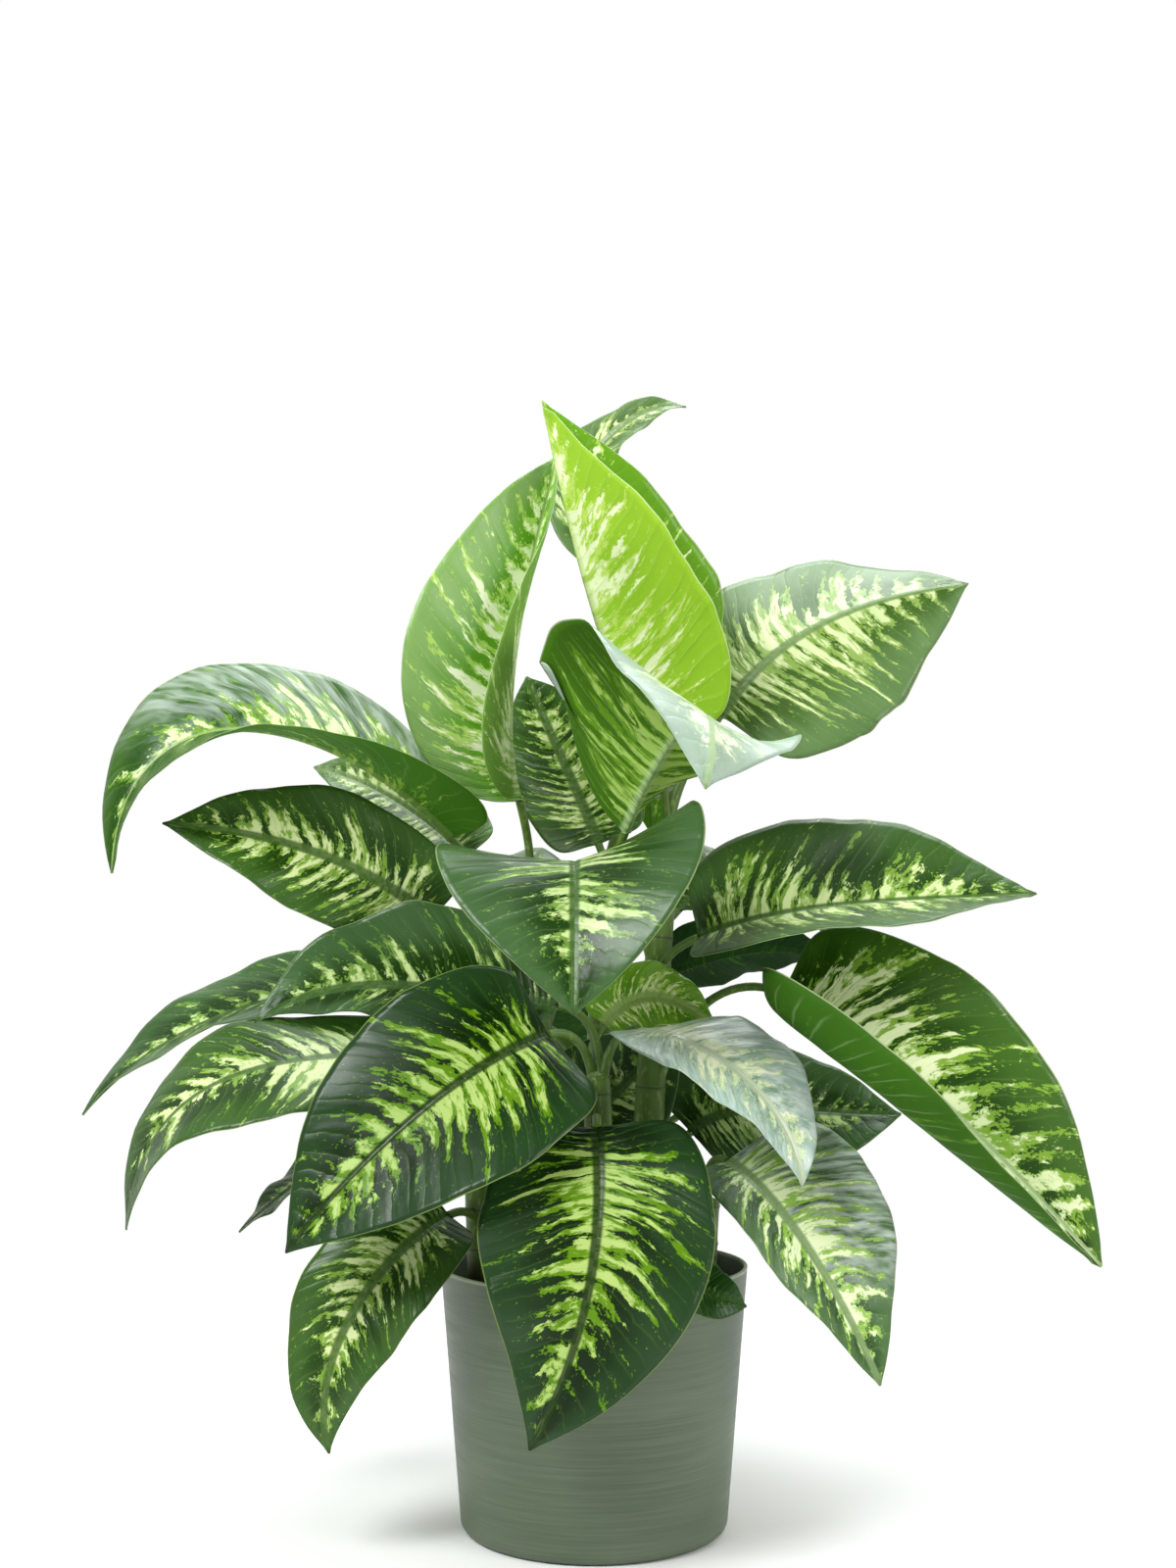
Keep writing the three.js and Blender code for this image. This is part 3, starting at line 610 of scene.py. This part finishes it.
# %% The finish itself
def leaf_finish(name, above, below, reach, fray, lean=0, tail=0.82, painted_sheen=None, coat=0.15):
    deep, green, lime, cream, rib = (tone(*colour) for colour in above)
    under, lime_under, cream_under = (tone(*colour) for colour in below)
    leaf = Finish(name)
    q, v, number = leaf.parts(leaf.attribute("place"))
    along, distance, upper = leaf.parts(leaf.attribute("span"))
    side = v.math("GREATER_THAN", 0.0)
    out = v.math("ABSOLUTE")
    seed = number * LEAF_SEED + side * SIDE_SEED
    wobble = (leaf.noise(leaf.vector(q * 8.0, out * 2.0, seed), 1.0) - 0.5) * WOBBLE
    across = q * STROKES + side * 0.5 + wobble

    def drawn_out(over_veins, on_vein, shift, detail=2.0, roughness=0.5):
        """A noise that changes fast from vein to vein, and slowly along each."""
        place = leaf.vector(across * over_veins, out * on_vein, seed + shift)
        return leaf.noise(place, 1.0, detail, roughness)

    stroke = drawn_out(over_veins=0.9, on_vein=1.1, shift=0.0, detail=1.0)
    ragged = drawn_out(over_veins=3.6, on_vein=7.0, shift=11.0, detail=4.0, roughness=0.7)
    inner = drawn_out(over_veins=2.0, on_vein=3.0, shift=23.0, roughness=0.6)
    dots = drawn_out(over_veins=7.0, on_vein=20.0, shift=31.0, detail=1.0)
    crease = drawn_out(over_veins=0.8, on_vein=1.6, shift=2.0)
    grain = leaf.noise(leaf.place(), scale=700.0)

    # The field, and where it makes the leaf lime or cream
    ends = leaf.step(q, *FIELD_END) * (1 - leaf.step(q, tail, tail + TAIL_LENGTH))
    comb = 0.5 - across.zigzag()
    field = reach - FIELD["start"] + ends * FIELD["ends"] - out + (side - 0.5) * lean
    field = field + comb * FIELD["comb"] + (stroke - 0.5) * FIELD["stroke"]
    field = field + (ragged - 0.5) * fray
    dots = leaf.step(dots, *DOT_FROM) * leaf.step(field, *DOT_FIELD)
    pale = leaf.step(field, *LIME_FROM).math("MAXIMUM", dots)
    spot = leaf.step(field + (inner - 0.5) * CREAM_FRAY, *CREAM_FROM) * pale

    # Veins: a faint line at each whole number, and a pillow between two lines
    between = (q * VEINS + wobble).zigzag()
    line = leaf.step(between, *VEIN_FROM) * (1 - leaf.step(out, *VEIN_FADE))
    pillow = 1 - between ** VEIN_PILLOW
    rib_width = RIB["width"] - along * RIB["taper"] + (ragged - 0.5) * RIB["fray"]
    on_rib = 1 - leaf.step(distance, rib_width * 0.5, rib_width)
    edge = leaf.step(out, *EDGE_FROM)

    # Each colour covers those before it, first above and then below
    # The ground: partly the leaf's own two greens, partly painted shade by the midrib and a painted
    # bluish sheen toward the margin.
    inward = leaf.step(out + (stroke - 0.5) * GREEN_FRAY, *GREEN_FROM)
    ground = leaf.mix(inward, deep, green)
    # Painted sheen: streaks of pale grey-green stand for the bright sky mirrored by the glossy
    # blade.
    if painted_sheen:
        left, right, until = painted_sheen
        sheen_streak = leaf.step(inner, *PAINTED_SHEEN_FROM) * (1 - leaf.step(q, until, until + PAINTED_SHEEN_FADE))
        ground = leaf.mix(sheen_streak * (side * (right - left) + left), ground, PAINTED_SHEEN)
    face = leaf.mix(pale, ground, lime)
    face = leaf.mix(spot, face, cream)
    face = leaf.mix(line * LINE_ABOVE, face, lime)
    face = leaf.mix(on_rib * RIB_ABOVE, face, rib)
    back = leaf.mix(pale, under, lime_under)
    back = leaf.mix(spot, back, cream_under)
    back = leaf.mix(line * LINE_BELOW + on_rib * RIB_BELOW, back, rib)
    colour = leaf.mix(upper, back, face)
    colour = leaf.mix(edge * EDGE_SHARE, colour, cream)
    cloud = (leaf.noise(leaf.place(), CLOUD_SCALE) - 0.5) * CLOUD_CONTRAST + CLOUD_START
    colour = leaf.mix(1.0, colour, leaf.mix(cloud, BRIGHT, DIM), "MULTIPLY")

    veins = (pillow * RELIEF["pillow"] - line * RELIEF["line"]) * (upper * 2 - 1) * (1 - edge)
    height = veins + crease * RELIEF["crease"] + grain * RELIEF["grain"]
    return leaf.set(
        Base_Color=colour,
        Roughness=0.75 - upper * 0.42 + (grain - 0.5) * 0.2,
        Normal=leaf.bump(height, distance=0.0009, strength=0.75),
        Specular_IOR_Level=0.22,
        Coat_Weight=upper * coat,
        Coat_Roughness=0.2,
    )


leaf_finishes = {look: leaf_finish("leaf " + look, **row) for look, row in LOOKS.items()}

# %% Every leaf takes the place of its plain one
def add_piece(name, mesh, material, slot, *nodes):
    """Puts a mesh in the scene as a piece of the object, in place of the plain nodes."""
    piece = put(name, mesh)
    if material is not None:
        mesh.materials.clear()
        mesh.materials.append(material)
    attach(piece, "root")
    if nodes:
        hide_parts(*nodes)


for name, blade in blades.items():
    finish = leaf_finishes[OWN_LOOK.get(name, blade.row["look"])]
    slot = "leaf_" + blade.row["look"]
    add_piece("blade_" + name, blade_mesh("blade_" + name, blade), finish, slot, "leaf_" + name)
print("blades:", len(blades), "points in each:", 2 * ROWS * (2 * HALF_COLUMNS + 1))

# %% [markdown]
# ## Canes and stalks
# Six green canes of different ages stand in the pot. Each is a smooth line through three points,
# thicker at the foot. A leaf stalk leaves its cane steeply, wide where it wraps the cane, then
# arches over and meets its blade in line with the midrib.

# %% Where the stems run, in millimetres
CANES = dict(
    left=[(-84, -38, 0), (-92, -34, 290), (-98, -22, 385)],
    tall_left=[(-32, 22, 0), (-45, 20, 380), (-62, 14, 545)],
    tall_right=[(38, 18, 0), (48, 20, 380), (60, 18, 560)],
    front=[(8, -62, 0), (4, -62, 290), (2, -60, 375)],
    back=[(-2, 84, 0), (4, 92, 330), (8, 98, 500)],
    low_right=[(84, -12, 0), (88, -12, 230), (92, -14, 270)],
)

SOIL_LEVEL, HOLE_DEPTH, GAP = 184, 60, 0.35
CANE_FOOT, CANE_TOP = 14, 10
SHEATH, STALK_END, SLIM_BY, STALK_REACH = 7, 3.4, 0.67, 0.42


def cane_path(points, places):
    """Points on the smooth curve through a cane's three points, for places from 0 to 1."""
    foot, middle, top = np.array(points, float)
    foot[2] = SOIL_LEVEL - HOLE_DEPTH + GAP
    knots = [2 * foot - middle, foot, middle, top, 2 * top - middle]
    path = []
    for place in places:
        part = 0 if place < 0.5 else 1
        t = place * 2 - part
        a, b, c, d = knots[part:part + 4]
        before, here, after = (np.linalg.norm(q - p) ** 0.5 for p, q in ((a, b), (b, c), (c, d)))
        leave = ((b - a) / before - (c - a) / (before + here) + (c - b) / here) * here
        arrive = ((c - b) / here - (d - b) / (here + after) + (d - c) / after) * here
        path.append(b + leave * t + (3 * (c - b) - 2 * leave - arrive) * t ** 2
                    + (2 * (b - c) + leave + arrive) * t ** 3)
    return np.array(path)


def stalk_path(blade, cane, places):
    """Points along a leaf stalk: up out of its cane, then over into line with the midrib."""
    start = cane[cane[:, 2] <= blade.row["stalk"][1]][-1]
    direction = unit(blade.slope(np.array(0.0)))
    end = blade.rib(np.array(0.0)) / MM - direction * GAP
    span = np.linalg.norm(end - start) * STALK_REACH
    bends = [start, start + [0, 0, span], end - direction * span, end]
    t = places[:, None]
    shares = [(1 - t) ** 3, 3 * t * (1 - t) ** 2, 3 * t ** 2 * (1 - t), t ** 3]
    return sum(share * bend for share, bend in zip(shares, bends))


print("first cane:", np.round(cane_path(CANES["left"], [0, 1])).tolist())

# %% [markdown]
# ## Stems from lines
# A cane with its stalks is a set of lines with a thickness, and Geometry Nodes is the tool for
# it: one tree turns the lines into curves and sweeps a circle along them. Each point carries its
# own radius, and the tree swells the stem a little at each old leaf scar.

# %% A tree of geometry nodes, written as the finishes are
class Recipe(Finish):
    """A Geometry Nodes tree with named inputs, run on an object and kept as a plain mesh."""

    def __init__(self, name, **inputs):
        self.tree = bpy.data.node_groups.new(name, "GeometryNodeTree")
        self.nodes, self.links = self.tree.nodes, self.tree.links
        self.keys = {}
        panel = self.tree.interface
        panel.new_socket("Geometry", in_out="OUTPUT", socket_type="NodeSocketGeometry")
        for label, kind in {"Geometry": "Geometry", **inputs}.items():
            socket = panel.new_socket(label, in_out="INPUT", socket_type="NodeSocket" + kind)
            self.keys[label] = socket.identifier
        source = self.nodes.new("NodeGroupInput")
        self.inputs = {label: Wire(self, source.outputs[label]) for label in self.keys}
        self.result = self.nodes.new("NodeGroupOutput")

    def named(self, name):
        return self.node("GeometryNodeInputNamedAttribute", {"data_type": "FLOAT"}, name)

    def close(self, geometry, material):
        """Ends the tree: instances become mesh, and the mesh gets its finish."""
        real = self.node("GeometryNodeRealizeInstances", {}, geometry)
        done = self.node("GeometryNodeSetMaterial", {}, real, None, material)
        self.plug(self.result.inputs[0], done)

    def apply(self, mesh, **values):
        """Runs the tree on a mesh with these input values, and returns the mesh it makes."""
        holder = put("holder", mesh)
        step = holder.modifiers.new("recipe", "NODES")
        step.node_group = self.tree
        for label, value in values.items():
            step[self.keys[label]] = value
        ready = holder.evaluated_get(bpy.context.evaluated_depsgraph_get())
        made = bpy.data.meshes.new_from_object(ready)
        holder.modifiers.clear()
        bpy.data.objects.remove(holder)
        return made


# %% The stem tree
SCAR_SHARPNESS = 10

stems = Recipe("stems", Sides="Int", Scar_spacing="Float", Scar_swell="Float", Finish="Material")
curves = stems.node("GeometryNodeMeshToCurve", {}, stems.inputs["Geometry"])
rings = (stems.named("along") / stems.inputs["Scar_spacing"]).zigzag()
scar = (1 - rings) ** SCAR_SHARPNESS
radius = stems.named("radius") * (scar * stems.named("cane") * stems.inputs["Scar_swell"] + 1)
circle = stems.node("GeometryNodeCurvePrimitiveCircle", {}, stems.inputs["Sides"])
swept = stems.node("GeometryNodeCurveToMesh", {}, curves, circle, radius, True)
round_stems = stems.node("GeometryNodeSetShadeSmooth", {}, swept)
stems.close(round_stems, stems.inputs["Finish"])

# %% [markdown]
# ## The finish of the stems
# Canes are smooth and green, paler between the scars and mottled with light specks, and brown at
# the foot. The stalks have the same green, without the scars and the brown.

# %% The stem finish
SCAR_SPACING, SCAR_SWELL = 31 * MM, 0.07
SCAR_LINE, SOILED_HEIGHT = (0.02, 0.1), (0.2, 0.262)

stem = Finish("stem green")
along, on_cane = stem.parts(stem.attribute("stem"))[:2]
x, y, z = stem.parts(stem.place())
speck = stem.noise(stem.vector(x, y, z * 0.35), scale=260.0)
cloud = stem.noise(stem.place(), scale=30.0)
scar = (1 - stem.step((along / SCAR_SPACING).zigzag(), *SCAR_LINE)) * on_cane
green = stem.mix(cloud, tone(52, 84, 18), tone(98, 130, 44))
green = stem.mix(stem.step(speck, 0.58, 0.66) * 0.45, green, tone(140, 164, 84))
green = stem.mix(scar * 0.75, green, tone(62, 60, 30))
soiled = (1 - stem.step(z, *SOILED_HEIGHT)) * on_cane * stem.step(cloud, 0.3, 0.6)
green = stem.mix(soiled, green, tone(56, 42, 28))
stem.set(
    Base_Color=green,
    Roughness=0.46 + soiled * 0.3,
    Normal=stem.bump(speck * 0.3 + scar * -0.8, distance=0.0005, strength=0.6),
)

# %% Sweep every cane with its stalks
STEM_SIDES = 20
CANE_STEPS, STALK_STEPS = 150, 26
ROUND_END, NARROWEST = 0.05, 0.01


def stem_lines(cane_name):
    """The lines of one cane and its stalks, with the numbers that their points carry."""
    places = np.linspace(0, 1, CANE_STEPS)
    cane = cane_path(CANES[cane_name], places)
    past = ((places - 1 + ROUND_END) / ROUND_END).clip(0)
    crown = np.sqrt(np.clip(1 - past ** 2, NARROWEST, 1))
    paths, radii = [cane], [mix(CANE_FOOT, CANE_TOP, places) * crown]
    places = np.linspace(0, 1, STALK_STEPS)
    for blade in blades.values():
        if blade.row["stalk"][0] == cane_name:
            paths.append(stalk_path(blade, cane, places))
            radii.append(mix(SHEATH, STALK_END, np.minimum(places / SLIM_BY, 1)))

    edges, lengths, first = [], [], 0
    for path in paths:
        steps = np.linalg.norm(np.diff(path, axis=0), axis=1)
        lengths.append(np.concatenate([[0], np.cumsum(steps)]))
        edges += [(first + k, first + k + 1) for k in range(len(path) - 1)]
        first += len(path)
    mesh = bpy.data.meshes.new("cane_" + cane_name)
    mesh.from_pydata((np.concatenate(paths) * MM).tolist(), edges, [])
    along = np.concatenate(lengths) * MM
    on_cane = np.where(np.arange(first) < CANE_STEPS, 1.0, 0.0)
    values = {"radius": np.concatenate(radii) * MM, "along": along, "cane": on_cane}
    for key, column in values.items():
        layer = mesh.attributes.new(key, "FLOAT", "POINT")
        layer.data.foreach_set("value", column.astype(np.float32))
    carry(mesh, "stem", np.stack([along, on_cane, np.zeros_like(along)], -1))
    return mesh


for cane_name in CANES:
    mesh = stems.apply(stem_lines(cane_name), Sides=STEM_SIDES, Scar_spacing=SCAR_SPACING,
                       Scar_swell=SCAR_SWELL, Finish=stem.material)
    add_piece("stem_cane_" + cane_name, mesh, None, "cane", "cane_" + cane_name)
    print("cane", cane_name, "faces:", len(mesh.polygons))

# %% [markdown]
# ## The pot
# The pot is turned: one profile goes round an upright axis. The foot has a soft round corner and
# the lip a small one. Its matt plastic has faint marks all round, as if it was wiped while it
# turned, so the noise is squeezed along the height and hardly changes round the pot.

# %% The turned pot
POT_RIM, POT_BASE, POT_HEIGHT = 125 * MM, 109 * MM, 214 * MM
POT_WALL, POT_FLOOR, POT_FOOT, POT_LIP = 3 * MM, 5 * MM, 9 * MM, 1 * MM
POT_STEPS, FOOT_STEPS, LIP_STEPS = 144, 12, 5
WALL_SHARES, INSIDE_RINGS = np.linspace(0.1, 0.98, 12), (180 * MM, 100 * MM)


def arc(centre_x, centre_z, radius, start, end, steps):
    angles = np.radians(np.linspace(start, end, steps))
    return [(centre_x + radius * math.cos(a), centre_z + radius * math.sin(a)) for a in angles]


def inner_radius(z):
    return mix(POT_BASE, POT_RIM, z / POT_HEIGHT) - POT_WALL


def turned(name, profile, steps):
    """Turns a profile of (radius, height) round the Z axis. The profile starts and ends on it."""
    rows = np.array(profile)
    angles = np.linspace(0, 2 * np.pi, steps, endpoint=False)
    inner = rows[1:-1]
    x = inner[:, 0] * np.cos(angles)[:, None]
    y = inner[:, 0] * np.sin(angles)[:, None]
    z = np.broadcast_to(inner[:, 1], x.shape)
    points = np.stack([x, y, z], -1).reshape(-1, 3).tolist()
    count = len(inner)
    faces = []
    for step in range(steps):
        here, there = step * count, (step + 1) % steps * count
        faces += [(here + k, there + k, there + k + 1, here + k + 1) for k in range(count - 1)]
        faces.append((steps * count, there, here))
        faces.append((steps * count + 1, here + count - 1, there + count - 1))
    points += [(0, 0, rows[0, 1]), (0, 0, rows[-1, 1])]
    mesh = bpy.data.meshes.new(name)
    mesh.from_pydata(points, [], faces)
    return mesh


wall_foot, lip_height = POT_BASE - POT_FOOT, POT_HEIGHT - POT_LIP
outer_lip = POT_RIM - POT_LIP
inner_lip = POT_RIM - POT_WALL + POT_LIP
pot_profile = [(0, 0), (wall_foot * 0.5, 0)]
pot_profile += arc(wall_foot, POT_FOOT, POT_FOOT, -90, 0, FOOT_STEPS)
for share in WALL_SHARES:
    radius = mix(POT_BASE, POT_RIM, share)
    pot_profile.append((radius, mix(POT_FOOT, POT_HEIGHT, share)))
pot_profile += arc(outer_lip, lip_height, POT_LIP, 0, 90, LIP_STEPS)
pot_profile += arc(inner_lip, lip_height, POT_LIP, 90, 180, LIP_STEPS)
pot_profile += [(inner_radius(z), z) for z in (*INSIDE_RINGS, POT_FLOOR)]
pot_profile += [(0, POT_FLOOR)]
pot_mesh = turned("pot", pot_profile, POT_STEPS)
pot_mesh.shade_smooth()
print("pot faces:", len(pot_mesh.polygons))

# %% The pot's finish
LIP_HIGHLIGHT = (0.2105, 0.2128)
pot = Finish("sage plastic")
x, y, z = pot.parts(pot.place())


def bands(round_pot, upward, detail=2.0, roughness=0.5):
    """A noise in thin level bands."""
    place = pot.vector(x * round_pot, y * round_pot, z * upward)
    return pot.noise(place, 1.0, detail, roughness)


streaks = bands(round_pot=7.0, upward=420.0, detail=3.0, roughness=0.7)
fine = bands(round_pot=16.0, upward=1200.0)
broad = pot.noise(pot.vector(x, y, z * 4.0), scale=7.0)
wiped = pot.step(streaks, 0.35, 0.7)
colour = pot.mix(wiped * 0.45 + (fine - 0.5) * 0.8 + 0.08, tone(63, 80, 55), tone(93, 107, 81))
colour = pot.mix(pot.step(broad, 0.45, 0.8) * 0.2, colour, tone(126, 136, 114))
# Painted highlight: the rounded top of the lip is paler all round, where light from above catches
# it.
colour = pot.mix(pot.step(z, *LIP_HIGHLIGHT) * 0.8, colour, tone(176, 184, 156))
pot.set(
    Base_Color=colour,
    Roughness=0.42 + wiped * 0.14,
    Normal=pot.bump(streaks * 0.6 + fine * 0.4, distance=0.0003, strength=0.3),
    Specular_IOR_Level=0.7,
)
add_piece("pot_shell", pot_mesh, pot.material, "pot", "pot")

# %% [markdown]
# ## The soil
# Potting soil is crumbs of all sizes. A bumpy bed fills the pot, and Geometry Nodes scatters
# crumbs over it, each a low ball of few faces, turned and stretched by a random value with a
# fixed seed. A few white grains of perlite lie among them.

# %% The bed
BED_RINGS, BED_STEPS = 26, 96
SOIL_EDGE, SOIL_SHOULDER, SOIL_CROWN = 181 * MM, 186 * MM, 190 * MM
SHOULDER_RADIUS, INNERMOST_RING = 70 * MM, 4 * MM
BED_SINK, BED_UNDERSIDE = 2 * MM, 120 * MM
SHAKEN_ABOVE, STILL_RIM, SHAKE_HEIGHT = 150 * MM, 3 * MM, 1.6 * MM
bed_radius = inner_radius(SOIL_EDGE) - GAP * MM


def bed_height(radius):
    levels = [SOIL_CROWN, SOIL_SHOULDER, SOIL_EDGE]
    return np.interp(radius, [0, SHOULDER_RADIUS, bed_radius], levels) - BED_SINK


bed_profile = [(0, BED_UNDERSIDE), (inner_radius(BED_UNDERSIDE) - GAP * MM, BED_UNDERSIDE)]
for radius in np.linspace(bed_radius, INNERMOST_RING, BED_RINGS):
    bed_profile.append((radius, bed_height(radius)))
bed_profile.append((0, bed_height(0)))
bed = turned("soil_bed", bed_profile, BED_STEPS)
shake = np.random.default_rng(4)
for corner in bed.vertices:
    if corner.co.z > SHAKEN_ABOVE and corner.co.xy.length < bed_radius - STILL_RIM:
        corner.co.z += shake.uniform(-SHAKE_HEIGHT, SHAKE_HEIGHT)
print("bed faces:", len(bed.polygons))

# %% A tree that scatters crumbs
FACING_UP = 0.5
FULL_TURN = (6.3, 6.3, 6.3)
LEAST_STRETCH, MOST_STRETCH = (0.3, 0.3, 0.25), (1.0, 0.8, 0.6)

crumbs = Recipe("crumbs", Size="Float", Density="Float", Seed="Int", Finish="Material")
ground, density, seed = (crumbs.inputs[label] for label in ("Geometry", "Density", "Seed"))
upward = crumbs.parts(crumbs.node("GeometryNodeInputNormal", {}))[2]
facing_up = upward.math("GREATER_THAN", FACING_UP)
scattered = crumbs.node("GeometryNodeDistributePointsOnFaces", {},
                        ground, facing_up, None, None, density, None, seed)
ball = crumbs.node("GeometryNodeMeshIcoSphere", {}, crumbs.inputs["Size"], 1)
settings = {"data_type": "FLOAT_VECTOR"}
turn = crumbs.node("FunctionNodeRandomValue", settings, (0, 0, 0), FULL_TURN)
stretch = crumbs.node("FunctionNodeRandomValue", settings, LEAST_STRETCH, MOST_STRETCH)
placed = crumbs.node("GeometryNodeInstanceOnPoints", {},
                     scattered, None, ball, None, None, turn, stretch)
crumbs.close(placed, crumbs.inputs["Finish"])

# %% Dark crumbs on the bed, and white grains among them
earth = Finish("potting soil")
clod = earth.noise(earth.place(), scale=160.0, detail=3.0)
rough = earth.noise(earth.place(), scale=1200.0, detail=3.0)
earth.set(
    Base_Color=earth.mix(earth.step(clod, 0.3, 0.7), tone(38, 28, 20), tone(86, 66, 46)),
    Roughness=0.9,
    Normal=earth.bump(rough, distance=0.0008, strength=0.8),
)
perlite = Finish("perlite")
pore = perlite.noise(perlite.place(), scale=900.0)
perlite.set(
    Base_Color=perlite.mix(pore, tone(196, 190, 176), tone(236, 232, 222)),
    Roughness=0.85,
    Normal=perlite.bump(pore, distance=0.0004, strength=0.8),
)

crumb_mesh = crumbs.apply(bed.copy(), Size=0.0036, Density=42000.0, Seed=3, Finish=earth.material)
grain_mesh = crumbs.apply(bed.copy(), Size=0.0024, Density=1800.0, Seed=8, Finish=perlite.material)
add_piece("soil_bed", bed, earth.material, "soil", "soil")
add_piece("soil_crumbs", crumb_mesh, None, "soil")
add_piece("soil_grains", grain_mesh, None, "soil")
print("crumb faces:", len(crumb_mesh.polygons), "grain faces:", len(grain_mesh.polygons))

# %% [markdown]
# ## Floor and light
# The photograph is taken in soft light with no hard shadow. A pale floor and a pale sky give
# most of it, and three large lights give the leaves their broad cool sheen.

# %% The floor
FLOOR_HALF = 4.0
PALE_WITHIN, PALE_UNTIL = 0.5, 1.5

floor_mesh = bpy.data.meshes.new("floor")
sides = [(-1, -1), (1, -1), (1, 1), (-1, 1)]
corners = [(x * FLOOR_HALF, y * FLOOR_HALF, 0) for x, y in sides]
floor_mesh.from_pydata(corners, [], [(0, 1, 2, 3)])
paper = Finish("pale floor")
east, north = paper.parts(paper.place())[:2]
from_middle = (east * east + north * north) ** 0.5
paper.set(
    Base_Color=tone(244, 244, 242),
    Roughness=0.8,
    Alpha=1 - paper.step(from_middle, PALE_WITHIN, PALE_UNTIL),
)
floor_mesh.materials.append(paper.material)
floor = put("floor", floor_mesh)

# %% The lights
class Sky(Finish):
    """The light from all round."""

    def __init__(self, name):
        self.material = bpy.data.worlds.new(name)
        self.material.use_nodes = True
        self.nodes = self.material.node_tree.nodes
        self.links = self.material.node_tree.links
        self.surface = self.nodes["Background"]


sky = Sky("pale sky")
SKY_BEHIND, SKY_IN_FRONT, SKY_OVERHEAD = 1.0, 0.62, 0.18
BEHIND_FROM, OVERHEAD_FROM = (-0.3, 0.5), (0.05, 0.4)
east, north, up = sky.parts(sky.node("ShaderNodeTexCoord", {}, output=0))
in_front = 1 - sky.step(north, *BEHIND_FROM)
overhead = sky.step(up, *OVERHEAD_FROM)
dimmed = SKY_BEHIND - SKY_IN_FRONT + overhead * (SKY_IN_FRONT - SKY_OVERHEAD)
sky.set(Color=(1.0, 1.0, 1.0, 1.0), Strength=SKY_BEHIND - in_front * dimmed)
bpy.context.scene.world = sky.material
bpy.context.scene.view_settings.view_transform = "Standard"

LIGHTS = dict(
    key=dict(place=(-1.3, -1.5, 2.2), size=1.1, power=70, colour=(0.97, 0.99, 1.0)),
    fill=dict(place=(1.7, -1.2, 1.2), size=1.1, power=22, colour=(1.0, 0.99, 0.96)),
    top=dict(place=(0.3, 0.6, 2.3), size=1.4, power=34, colour=(0.92, 0.97, 1.0)),
)
AIM = np.array([0, 0, 0.5])
for name, light in LIGHTS.items():
    lamp_data = bpy.data.lights.new(name, "AREA")
    lamp_data.size, lamp_data.energy = light["size"], light["power"]
    lamp_data.color = light["colour"]
    lamp = put(name, lamp_data)
    lamp.location = light["place"]
    back = unit(np.array(light["place"]) - AIM)
    lamp.rotation_euler = (math.acos(back[2]), 0, math.atan2(back[0], -back[1]))
